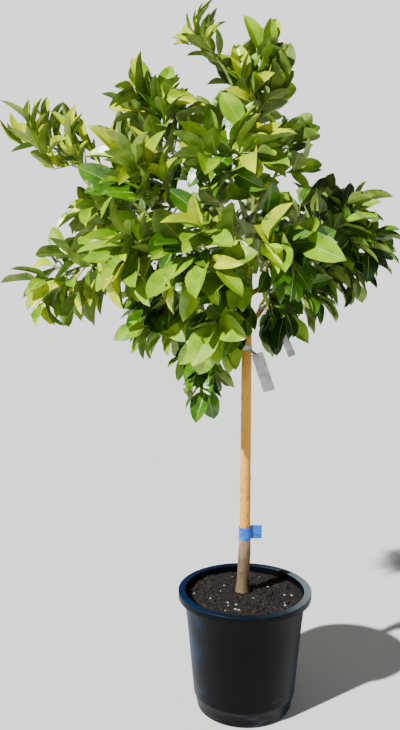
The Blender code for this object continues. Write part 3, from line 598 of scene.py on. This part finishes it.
def bark_relief(point, run, turn, radius, seed):
    """How far bark stands out at a place on a limb: long ridges, dimples and raised leaf scars."""
    across, along, height = RIDGES
    ridge = Vector((cos(turn) * across, sin(turn) * across, run * along + seed))
    relief = height * noise.noise(ridge)
    across, along, height = DIMPLES
    relief += height * noise.noise(Vector((point.x * across, point.y * across, point.z * along + seed)))
    step = int(run / SCAR_SPACING)
    for near in (step, step + 1):
        middle = (near + 0.4) * SCAR_SPACING
        away = cos(turn - near * GOLDEN_ANGLE - seed)
        if away > 0.0:
            relief += SCAR_HEIGHT * exp(-(((run - middle) / SCAR_LENGTH) ** 2)) * away**6
    return radius * relief


def loft(limb, sides=3, shift=None):
    """Vertices and faces of a closed tapering tube along a path, with bark on it if given a shift."""
    vertices = []
    faces = []
    run = 0.0
    side = side_of(limb.points[1] - limb.points[0])
    for i, point in enumerate(limb.points):
        before = limb.points[max(i - 1, 0)]
        after = limb.points[min(i + 1, len(limb.points) - 1)]
        run += (point - before).length
        along = (after - before).normalized()
        side = (side - along * side.dot(along)).normalized()
        other = along.cross(side)
        for k in range(sides):
            turn = 2 * pi * k / sides
            radius = limb.radii[i]
            if shift is not None:
                radius += bark_relief(point, run, turn, radius, shift)
            vertices.append(point + (side * cos(turn) + other * sin(turn)) * radius)
    for i in range(len(limb.points) - 1):
        for k in range(sides):
            a = i * sides + k
            b = i * sides + (k + 1) % sides
            faces.append((a, b, b + sides, a + sides))
    faces.append(tuple(reversed(range(sides))))
    faces.append(tuple(range(len(vertices) - sides, len(vertices))))
    return vertices, faces


def add_tube(bm, limb, sides, shift=None):
    """Adds a closed tube along a limb to a bmesh."""
    vertices, faces = loft(limb, sides, shift)
    corners = [bm.verts.new(point) for point in vertices]
    for face in faces:
        bm.faces.new([corners[i] for i in face])


def all_limbs():
    limbs = {"trunk": trunk_limb()}
    for bough in BOUGHS:
        limbs[bough.name] = bough_limb(bough, limbs[bough.parent])
    return limbs


def smoothed(limb, step):
    """The limb's path as a smooth curve with a point every step, and a radius at each."""
    knots = [limb.points[0]] + list(limb.points) + [limb.points[-1]]
    points = []
    radii = []
    for i in range(len(limb.points) - 1):
        a, b, c, d = knots[i : i + 4]
        count = max(1, round((c - b).length / step))
        for k in range(count):
            t = k / count
            curve = 2 * b + (c - a) * t + (2 * a - 5 * b + 4 * c - d) * t**2
            curve += (3 * b - a - 3 * c + d) * t**3
            points.append(curve / 2)
            radii.append(limb.radii[i] * (1 - t) + limb.radii[i + 1] * t)
    points.append(limb.points[-1])
    radii.append(limb.radii[-1])
    return Limb(points, radii)


def bark_piece(name, chosen, sides, ring_step):
    """Limbs with bark on them, as one piece."""
    bm = bmesh.new()
    for i, limb in enumerate(chosen):
        add_tube(bm, smoothed(limb, ring_step), sides, i * LIMB_SHIFT)
    return add_piece(name, finished(name, bm, sharp=50), "bark", bark)


# Young citrus bark: satin and nearly smooth. It is grey-brown on the rootstock, yellow-tan on the
# stem with brown flecks, and green in the head of the plant
bark, (tree, shader, spot) = new_material("young_citrus_bark", "C9A873", 0.62)
axes = add_node(tree, "ShaderNodeSeparateXYZ", {"Vector": spot})
high = add_node(tree, "ShaderNodeMapRange", {"Value": axes["Z"], "From Min": 0.25, "From Max": 1.15})
long_grain = add_node(
    tree, "ShaderNodeMapping", {"Vector": spot, "Scale": (every(6.25), every(6.25), every(29.4))}
)
grain = add_node(tree, "ShaderNodeTexNoise", {"Vector": long_grain[0], "Scale": 1.0, "Detail": 5.0})
shifted = add_node(tree, "ShaderNodeMath", {0: grain["Fac"], 1: 0.10, 2: high[0]}, operation="MULTIPLY_ADD")
woods = [(0.13, "66543A"), (0.92, "6D7A35"), (0.185, "8A7052"), (0.22, "D8962E")]
woods += [(0.55, "E4A63C"), (0.72, "AC862C")]
zones = add_node(tree, "ShaderNodeValToRGB", {"Fac": shifted[0]}, woods)
flecks = add_node(tree, "ShaderNodeValToRGB", {"Fac": grain["Fac"]}, [(0.32, "8F7048"), (0.44, "FFFFFF")])
coloured = add_node(
    tree, "ShaderNodeMix", {"Factor": 0.75, 6: zones[0], 7: flecks[0]},
    data_type="RGBA", blend_type="MULTIPLY",
)
tree.links.new(coloured[2], shader.inputs["Base Color"])
fibres = {"Height": grain["Fac"], "Strength": 0.35, "Distance": 0.001}
add_node(tree, "ShaderNodeBump", fibres, into=shader.inputs["Normal"])

limbs = all_limbs()
trunk_piece = bark_piece("grafted_stem", [limbs["trunk"]], TRUNK_SIDES, BARK_RING)
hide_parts("trunk")
bough_piece = bark_piece("boughs", [limbs[bough.name] for bough in BOUGHS], BOUGH_SIDES, 2 * BARK_RING)
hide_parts(*["bough_" + bough.name for bough in BOUGHS])

# Grafting tape
# A few turns of stretched blue film over the graft, its loose end pinched together and creased. It
# keeps the mesh of its solid, and its creases are in the material.
tape_film, (tree, shader, spot) = new_material("stretched_grafting_film", "1592E6", 0.36)
wraps = add_node(
    tree, "ShaderNodeMapping", {"Vector": spot, "Scale": (every(16.7), every(16.7), every(2.38))}
)
blues = [(0.34, "0048A8"), (0.68, "0070DC"), (0.50, "005CC8")]
mottle((tree, shader, wraps[0]), 1.0, 3.0, blues, (0.4, 0.0010))


def reskin(name, material):
    """Gives a piece that keeps the mesh of its solid a material of its own."""
    materials = frame["nodes"][name].data.materials
    materials.clear()
    materials.append(material)


reskin("graft_tape", tape_film)

# Labels
# Two blank plant labels of thin white polyethylene, each closed round its limb by its own strap.
# They keep the meshes of their solids, greyed a little by the weather.
LABELS = ("label_on_trunk", "label_on_bough")
label_film, surface = new_material("weathered_polyethylene_label", "D8DCDF", 0.42)
mottle(surface, every(18.2), 4.0, [(0.35, "A9B0B8"), (0.62, "E4E6E6")])
for name in LABELS:
    reskin(name, label_film)

# Foliage
# Every mass grows on from its bough by the rule that shares out the crown: a stem, side twigs by
# the golden angle, and leaves along them that are kept to the mass's own space.
LEAF_CLEARANCE = 0.0004
LEAF_SLIM = 0.56
LEAF_WIDTHS = (0.85, 1.10)
LEAF_WIDEST = 0.46
LEAF_SIZES = (0.62, 1.10)
END_LEAF = 0.80
SMALL_LEAF = 0.72
LEAF_FOOT = 0.014
LEAF_PITCH = 0.0075
STEM_LEAF_PITCH = 0.0100
LEAFY = 0.86  # the part of a twig or a stem that carries leaves
LEAF_TURN = 0.7
LEAF_SLANTS = (0.5, 1.7)
END_SLANT = 0.25
LEAF_LIFT = 0.60
FACE_UP = 0.70
FACE_OUT = 0.60
FACE_ANYWHERE = 0.65
TWIG_PITCH = 0.015
FIRST_TWIG = 0.6
TWIG_ROOM = 0.50
TWIG_FIRST_LENGTH = 1.15
TWIG_SHORTENS = 0.5
TWIG_TURN = 0.45
TWIG_SLANTS = (0.5, 0.9)
TWIG_LENGTHS = (0.80, 1.15)
TWIG_LIFT = 0.35
SHORTEST_TWIG = 0.012
TWIG_RADIUS = 0.0016
TWIG_TIP_RADIUS = 0.0009
LIMB_MARGIN = 1.02
SPACE_MARGIN = 1.0e-4
SITES = (0.0, 0.2, 0.4, 0.6, 0.8, 1.0)
TRIES = 26
END_TRIES = 6  # tries in which an end leaf points along its twig
FULL_TRIES = 13  # tries at full size
SEED = "8"
YOUNG_LIFT = 0.75  # boughs that stand up more than this carry young, narrow leaves
YOUNG_SLIM = 0.40
YOUNG_RISE = 2.2
LEAFINESS = 2.3  # leaves wanted here for each one wanted in the solids


def ball_round(points):
    """The centre and radius of a ball that holds the points."""
    centre = sum(points, Vector()) / len(points)
    return centre, max((point - centre).length for point in points)


class Crown:
    """All masses of leaves together, so that each keeps to its own space and clear of limbs."""

    def __init__(self, limbs, stems, others):
        self.stems = stems
        self.obstacles = [BVHTree.FromPolygons(*shape) for shape in others]
        for limb in limbs.values():
            grown = Limb(limb.points, [radius * LIMB_MARGIN + LEAF_CLEARANCE for radius in limb.radii])
            self.obstacles.append(BVHTree.FromPolygons(*loft(grown, 8)))
        spots = []
        for i, bough in enumerate(BOUGHS):
            spots += [(stems[bough.name].at(part)[0], bough.spread**2, i) for part in SITES]
        self.sites, self.weights, self.owners = (np.array(column) for column in zip(*spots))
        self.placed = []

    def within(self, owner, points):
        """Whether all the points lie in the owner's space: nearest its stem, within its spread."""
        points = np.array(points)
        squares = ((points[:, None, :] - self.sites[None, :, :]) ** 2).sum(axis=2) - self.weights
        own = squares[:, self.owners == owner].min(axis=1)
        others = squares[:, self.owners != owner].min(axis=1)
        return bool((own < 0).all() and (own + SPACE_MARGIN < others).all())

    def clear(self, owner, points, faces, mates):
        """Whether a piece crosses no limb and no piece of another mass, or of its own if mates."""
        tree = BVHTree.FromPolygons(points, faces)
        if any(obstacle.overlap(tree) for obstacle in self.obstacles):
            return False
        centre, reach = ball_round(points)
        for other_owner, other_centre, other_reach, other_tree in self.placed:
            if other_owner == owner and not mates:
                continue
            if (other_centre - centre).length < reach + other_reach and other_tree.overlap(tree):
                return False
        return True

    def keep(self, owner, points, faces):
        self.placed.append((owner, *ball_round(points), BVHTree.FromPolygons(points, faces)))


def grow_twigs(bough, owner, crown, rng):
    """Side twigs by the golden angle along the stem, shorter towards its tip."""
    stem = crown.stems[bough.name]
    count = max(3, round(stem.length / TWIG_PITCH))
    twigs = []
    phase = rng.uniform(0, 2 * pi)
    for i in range(count):
        part = (i + FIRST_TWIG) / (count + 1 - FIRST_TWIG)
        point, along, _ = stem.at(part)
        wanted = bough.spread - TWIG_ROOM * bough.leaf
        wanted *= TWIG_FIRST_LENGTH - TWIG_SHORTENS * part
        if wanted < SHORTEST_TWIG:
            continue
        for attempt in range(TRIES):
            turn = phase + GOLDEN_ANGLE * i + attempt * TWIG_TURN
            side = side_of(along)
            out = side * cos(turn) + along.cross(side) * sin(turn)
            lean = along * rng.uniform(*TWIG_SLANTS) + UP * TWIG_LIFT * bough.lift
            heading = (out + lean).normalized()
            length = wanted * rng.uniform(*TWIG_LENGTHS)
            twig = Limb([point, point + heading * length], [TWIG_RADIUS, TWIG_TIP_RADIUS])
            grown = Limb(twig.points, [radius + LEAF_CLEARANCE for radius in twig.radii])
            shape = loft(grown)
            if crown.within(owner, shape[0]) and crown.clear(owner, *shape, mates=False):
                twigs.append(twig)
                crown.keep(owner, *shape)
                break
    return twigs


def leaf_nodes(bough, stem, twigs):
    """Where leaves may stand: twig tips first, then down the twigs and the stem in turn."""
    nodes = [(stem, 1.0, 0)]
    nodes += [(twig, 1.0, k) for k, twig in enumerate(twigs)]
    rounds = []
    for k, twig in enumerate(twigs):
        count = max(1, int(twig.length * LEAFY / LEAF_PITCH))
        rounds.append([(twig, 1 - LEAFY * (i + 0.5) / count, 3 * i + k) for i in range(count)])
    count = max(3, int(stem.length * LEAFY / STEM_LEAF_PITCH))
    rounds.append([(stem, 1 - LEAFY * (i + 0.5) / count, i) for i in range(count)])
    for depth in range(max(len(row) for row in rounds)):
        nodes += [row[depth] for row in rounds if depth < len(row)]
    return nodes


Leaf = namedtuple("Leaf", "root heading face length width carrier")
BLADE_START = 0.11  # the stalk's part of the leaf's length
BLADE_BACK = 0.3
BLADE_DEPTH = 0.001
BLADE_FACES = [(0, 2, 1), (1, 2, 4), (0, 1, 3), (0, 3, 2), (1, 4, 3), (2, 3, 4)]


def blade_corners(root, along, face, length, width):
    """A thin diamond, a little larger than a leaf, that stands for it while its place is tried."""
    grow = LEAF_CLEARANCE
    across = face.cross(along).normalized()
    face = along.cross(across).normalized()
    widest = root + along * length * LEAF_WIDEST
    return [
        root - along * grow,
        widest + across * (width / 2 + grow),
        widest - across * (width / 2 + grow),
        root + along * length * BLADE_BACK - face * (BLADE_DEPTH + grow),
        root + along * (length + grow),
    ]


def grow_leaves(bough, owner, crown, twigs, rng):
    """Leaves by the golden angle round each twig, turned until they fit, until there are enough."""
    stem = crown.stems[bough.name]
    leaves = []
    wanted = round(bough.leaves * LEAFINESS)
    young = bough.lift > YOUNG_LIFT
    slim = YOUNG_SLIM if young else LEAF_SLIM
    lift = LEAF_LIFT * bough.lift * (YOUNG_RISE if young else 1.0)
    for carrier, part, index in leaf_nodes(bough, stem, twigs):
        if len(leaves) >= wanted:
            break
        root, along, _ = carrier.at(part)
        size = rng.uniform(*LEAF_SIZES) * (END_LEAF if part == 1.0 else 1.0)
        phase = rng.uniform(-LEAF_TURN / 2, LEAF_TURN / 2)
        for attempt in range(TRIES):
            turn = GOLDEN_ANGLE * index + phase + attempt * LEAF_TURN
            side = side_of(along)
            out = side * cos(turn) + along.cross(side) * sin(turn)
            slant = END_SLANT if part == 1.0 and attempt < END_TRIES else rng.uniform(*LEAF_SLANTS)
            heading = (along + out * slant + UP * lift).normalized()
            outward = Vector((root.x, root.y, 0)).normalized()
            anywhere = Vector([rng.uniform(-FACE_ANYWHERE, FACE_ANYWHERE) for _ in range(3)])
            face = UP * FACE_UP + outward * FACE_OUT + anywhere
            face = face - heading * face.dot(heading)
            length = bough.leaf * size * (1.0 if attempt < FULL_TRIES else SMALL_LEAF)
            width = length * slim * rng.uniform(*LEAF_WIDTHS)
            tested = blade_corners(root, heading, face, length, width)
            if not crown.within(owner, tested[1:]):
                continue
            outer = blade_corners(root + heading * LEAF_FOOT, heading, face, length - LEAF_FOOT, width)
            if crown.clear(owner, outer, BLADE_FACES, mates=True):
                leaves.append(Leaf(root, heading, face.normalized(), length, width, carrier))
                rng.random()  # a spare draw, which keeps the later leaves in their places
                crown.keep(owner, tested, BLADE_FACES)
                break
    return leaves


def grow_crown(limbs):
    """Stem, twigs and leaves of every mass, by name."""
    stems = {bough.name: stem_limb(bough, limbs[bough.name]) for bough in BOUGHS}
    shapes = []
    for name in LABELS:
        mesh = frame["nodes"][name].data
        shapes.append(([v.co.copy() for v in mesh.vertices], [tuple(f.vertices) for f in mesh.polygons]))
    crown = Crown(limbs, stems, shapes)
    for owner, bough in enumerate(BOUGHS):
        crown.keep(owner, *loft(stems[bough.name]))
    twigs = {}
    for owner, bough in enumerate(BOUGHS):
        twigs[bough.name] = grow_twigs(bough, owner, crown, random.Random(SEED + bough.name))
    masses = {}
    for owner, bough in enumerate(BOUGHS):
        rng = random.Random(SEED + bough.name + "_leaves")
        leaves = grow_leaves(bough, owner, crown, twigs[bough.name], rng)
        masses[bough.name] = (stems[bough.name], twigs[bough.name], leaves)
    return masses


masses = grow_crown(limbs)

# Green twigs of this year's growth, straight ones on bowed stems, a little glossy. Their pale
# flecks are drawn coarser than they are
green_twig, surface = new_material("green_citrus_twig", "6F8A34", 0.50)
mottle(surface, every(6.25), 3.0, [(0.36, "4E6A24"), (0.64, "93A552")])
TWIG_STEP = 0.012
TWIG_SIDES = 6

bm = bmesh.new()
for stem, twigs, _ in masses.values():
    for limb in [stem] + twigs:
        add_tube(bm, smoothed(limb, TWIG_STEP), TWIG_SIDES)
add_piece("twigs", finished("twigs", bm, sharp=60), "leaf", green_twig)

# Leaves of a lime: glossy above with a pale midrib, paler and duller below. Their greens are painted
# light: yellow-green where sun falls on outer and upper leaves and on young growth, dark green in painted
# shade inside the head
# Painted light: four copies of one leaf green, from painted shade to painted sunlight
PAINTED_LIGHT_GREENS = {
    "deep": ("0B2406", "1A420A"),
    "mid": ("2A5606", "4C7A0A"),
    "bright": ("629008", "8CB40C"),
    "flush": ("9CB806", "CAD610"),
}
# The sunlit green, which young leaves also take and which folds them more
SUNLIT_FLUSH = 3
GLOSS = 0.30


def leaf_material(name, dark, light, roughness):
    """A leaf's surface: soft blotches between two greens, puckered between its side veins."""
    made, surface = new_material(name, light, roughness)
    mottle(surface, every(26.3), 3.0, [(0.34, dark), (0.62, light)])
    mottle(surface, every(9.09), 2.0, relief=(0.30, 0.0015))
    return made


skins = [leaf_material("leaf_" + tone, *greens, GLOSS) for tone, greens in PAINTED_LIGHT_GREENS.items()]
skins.append(leaf_material("leaf_underside", "557420", "7C9636", 0.60))
skins.append(leaf_material("leaf_midrib", "8CAC34", "AFC450", 0.42))
UNDERSIDE = 4
MIDRIB = 5

LEAF_ROWS = 9
BLADE_ROW = 0.7  # where the blade starts, counted in rows from the stalk's foot
BLADE_LEAN = 0.90  # below 1, the widest part lies nearer to the stalk
BLADE_FULL = 0.62  # below 1, the blade is fuller than a sine curve
TIP_WIDTH = 0.02
RIB_WIDTH = 0.0011
LEAF_THICK = 0.0007
STALK_WIDTH = 0.03
FOLDS = (0.15, 0.62)  # how far a blade rises for each unit out from its midrib
YOUNG_FOLD = 0.55
CURLS = (0.04, 0.30)  # how far the tip bends down, as a part of the length
WAVES = (0.0, 0.07)
WAVE_TURNS = 6.28
WAVES_ALONG = 11
OTHER_SIDE = 2
ROW = 10  # corners in a row: six across the upper side and four below them
UPPER = range(6)
LOWER = (0, 6, 7, 8, 9, 5)


def blade_width(part):
    """How wide a leaf is at a part of its length, from stalk to pointed tip: 1 at its widest."""
    if part <= BLADE_START:
        return STALK_WIDTH
    share = (part - BLADE_START) / (1 - BLADE_START)
    return max(TIP_WIDTH, sin(pi * share**BLADE_LEAN) ** BLADE_FULL)


def leaf_corners(leaf, tone, rng):
    """All the rows of one leaf, folded up from its midrib and bent down towards its tip."""
    across = leaf.face.cross(leaf.heading).normalized()
    face = leaf.heading.cross(across).normalized()
    fold = atan(rng.uniform(*FOLDS) + YOUNG_FOLD * (tone == SUNLIT_FLUSH))
    curl = rng.uniform(*CURLS) * leaf.length
    wave = rng.uniform(*WAVES) * 2
    phase = rng.uniform(0, WAVE_TURNS)
    corners = []
    for i in range(LEAF_ROWS + 1):
        part = BLADE_START + (1 - BLADE_START) * (i - BLADE_ROW) / (LEAF_ROWS - BLADE_ROW)
        part = part if 0 < i < LEAF_ROWS else i / LEAF_ROWS
        half = blade_width(part) * leaf.width / 2
        rib = min(RIB_WIDTH * (1.1 - part), half * 0.6)
        line = leaf.root + leaf.heading * part * leaf.length - face * curl * part**2
        row = []
        for out in (-half, -(half + rib) / 2, -rib, rib, (half + rib) / 2, half):
            ripple = wave * sin(phase + part * WAVES_ALONG + (out > 0) * OTHER_SIDE)
            lift = abs(out) * (sin(fold) + ripple)
            row.append(line + across * out * cos(fold) + face * lift)
        corners += row + [point - face * LEAF_THICK for point in row[1:5]]
    return corners


def leaf_mesh(name, chosen, rng):
    """Many leaves as one mesh, each a closed thin blade: upper side, underside and midrib apart."""
    vertices = []
    faces = []
    slots = []
    for leaf, tone in chosen:
        base = len(vertices)
        vertices += leaf_corners(leaf, tone, rng)
        for near in range(base, base + ROW * LEAF_ROWS, ROW):
            far = near + ROW
            for k in range(5):
                faces.append((near + k, near + k + 1, far + k + 1, far + k))
                faces.append((near + LOWER[k + 1], near + LOWER[k], far + LOWER[k], far + LOWER[k + 1]))
                slots += (MIDRIB, MIDRIB) if k == 2 else (tone, UNDERSIDE)
        end = base + ROW * LEAF_ROWS
        faces.append([base + k for k in LOWER[:5]] + [base + k for k in UPPER[:0:-1]])
        faces.append([end + k for k in UPPER] + [end + k for k in LOWER[4:0:-1]])
        slots += (UNDERSIDE, UNDERSIDE)
    mesh = bpy.data.meshes.new(name)
    mesh.from_pydata([tuple(v) for v in vertices], [], faces)
    mesh.polygons.foreach_set("material_index", slots)
    mesh.shade_smooth()
    mesh.set_sharp_from_angle(angle=radians(70))
    return mesh


# Where a leaf stands sets its painted light: lit out, high, on the sunny left and on young boughs, shaded
# inside, low and on the right
CROWN_REACH = 0.40
CROWN_FOOT = 0.85
CROWN_HEIGHT = 0.55
TONE_STEPS = (0.16, 0.40, 0.66)
FROM_REACH = 0.42  # how much of a leaf's light comes from standing out, and then from standing high
FROM_HEIGHT = 0.45
SUN_SIDE = (0.05, 0.10)  # left of and in front of these, in metres, the sun falls on the head
SUN = 0.18
SHADE_SIDE = (0.12, 1.15)  # right of and below these it stands in its own shade
SHADE = 0.20
YOUNG_LIGHT = 0.28
SPRAY_SHADE = 0.22
LEAF_SHADE = 0.16


def tone_of(bough, leaf, shade):
    """A leaf's green by painted light: sunlit yellow-green outside, high up, in the sun and on young boughs,
    a green of painted shade inside and low down.
    """
    outside = hypot(leaf.root.x, leaf.root.y) / CROWN_REACH
    high = (leaf.root.z - CROWN_FOOT) / CROWN_HEIGHT
    light = FROM_REACH * outside + FROM_HEIGHT * high + shade
    light += SUN if leaf.root.x < SUN_SIDE[0] and leaf.root.y < SUN_SIDE[1] else 0.0
    light -= SHADE if leaf.root.x > SHADE_SIDE[0] and leaf.root.z < SHADE_SIDE[1] else 0.0
    light += YOUNG_LIGHT if bough.lift > YOUNG_LIFT else 0.0
    return sum(light > step for step in TONE_STEPS)


# The leaves of one twig share a shade. Two pieces of the same size hold all the leaves, and
# together they replace the masses
chosen = []
rng = random.Random("tones")
for bough in BOUGHS:
    shades = {}
    for leaf in masses[bough.name][2]:
        if id(leaf.carrier) not in shades:
            shades[id(leaf.carrier)] = rng.uniform(-SPRAY_SHADE, SPRAY_SHADE)
        shade = shades[id(leaf.carrier)] + rng.uniform(-LEAF_SHADE, LEAF_SHADE)
        chosen.append((leaf, tone_of(bough, leaf, shade)))
half = len(chosen) // 2
names = ["leaves_" + bough.name for bough in BOUGHS]
half_names = len(names) // 2
rng = random.Random("leaves")
left_leaves = add_piece("leaves_one", leaf_mesh("leaves_one", chosen[:half], rng), "leaf", *skins)
right_leaves = add_piece("leaves_two", leaf_mesh("leaves_two", chosen[half:], rng), "leaf", *skins)
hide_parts(*names[:half_names])
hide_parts(*names[half_names:])

# Fruitlets
# Clusters of small green fruit and yellowish buds just after flowering, on short stalks among the
# leaves at the low right, the low left and the middle of the head.
FRUITING = ("right_low", "left_low", "left_mid", "bottom_left", "front_right", "low_right", "front_left")
FRUITING_TWIGS = 3
CLUSTER = (3, 4, 5)
CLUSTER_REACH = (0.006, 0.012)
CLUSTER_LEAN = 0.4  # how much of a cluster lies on beyond its twig
FRUIT_RADII = (0.0022, 0.0042)
STALK_RADIUS = 0.0006
# Young rind: waxy and half glossy, green where it is older and yellowish where it is youngest
fruit_skin, surface = new_material("young_lime_rind", "A9B23C", 0.40)
mottle(surface, every(3.85), 2.0, [(0.38, "7E9430"), (0.62, "C9BF58")])

rng = random.Random("fruit")
bm = bmesh.new()
for name in FRUITING:
    for twig in masses[name][1][:FRUITING_TWIGS]:
        tip = twig.points[-1]
        along = (tip - twig.points[0]).normalized()
        for _ in range(rng.choice(CLUSTER)):
            out = Vector([rng.uniform(-1, 1) for _ in range(3)]).normalized()
            centre = tip + (along * CLUSTER_LEAN + out).normalized() * rng.uniform(*CLUSTER_REACH)
            ball = bmesh.ops.create_icosphere(bm, subdivisions=2, radius=rng.uniform(*FRUIT_RADII))
            bmesh.ops.translate(bm, vec=centre, verts=ball["verts"])
            add_tube(bm, Limb([tip, centre], [STALK_RADIUS, STALK_RADIUS]), 4)
add_piece("fruitlets", finished("fruitlets", bm, sharp=180), "leaf", fruit_skin)

# Stage
# A plain pale floor and a pale surround, which is brighter to look at than it is to be lit by. Sun
# comes from the upper left, and the camera stands at the photograph's angle.
EDGE = 6.0
SKY_LIGHT = 0.17
SKY_SEEN = 1.6
pale = new_material("pale_studio_floor", "F2F2F0", 0.9)[0]
floor_mesh = bpy.data.meshes.new("floor")
corners = [(-EDGE, -EDGE, 0), (EDGE, -EDGE, 0), (EDGE, EDGE, 0), (-EDGE, EDGE, 0)]
floor_mesh.from_pydata(corners, [], [range(4)])
floor_mesh.materials.append(pale)
floor = add_object("floor", floor_mesh)

world = bpy.data.worlds.new("studio")
world.use_nodes = True
sky = world.node_tree
sky.nodes["Background"].inputs["Color"].default_value = linear("FFFFFF")
seen = add_node(sky, "ShaderNodeLightPath")["Is Camera Ray"]
add_node(
    sky, "ShaderNodeMapRange", {"Value": seen, "To Min": SKY_LIGHT, "To Max": SKY_SEEN},
    into=sky.nodes["Background"].inputs["Strength"],
)
bpy.context.scene.world = world


def add_light(name, kind, stand, target, energy, **settings):
    """A lamp at a place, turned towards a target."""
    data = bpy.data.lights.new(name, kind)
    data.energy = energy
    for key, value in settings.items():
        setattr(data, key, value)
    lamp = add_object(name, data)
    lamp.location = stand
    lamp.rotation_euler = (Vector(target) - Vector(stand)).to_track_quat("-Z", "Y").to_euler()


add_light("key", "SUN", (-2.0, -1.7, 2.8), (0, 0, 0.9), 8.6, angle=0.03)
add_light("fill", "AREA", (2.2, -2.0, 1.8), (0, 0, 0.8), 4.0, size=1.6)

FRAME_HEIGHT = 730
FOCAL_PIXELS = 860
CAMERA_PLACE = (-0.096, -1.745, 1.037)
CAMERA_PITCH = 9.3
lens = bpy.data.cameras.new("camera")
lens.sensor_fit = "VERTICAL"
lens.sensor_height = 36.0
lens.lens = lens.sensor_height * FOCAL_PIXELS / FRAME_HEIGHT
camera = add_object("camera", lens)
camera.location = CAMERA_PLACE
camera.rotation_euler = (radians(90 - CAMERA_PITCH), 0, 0)
bpy.context.scene.camera = camera
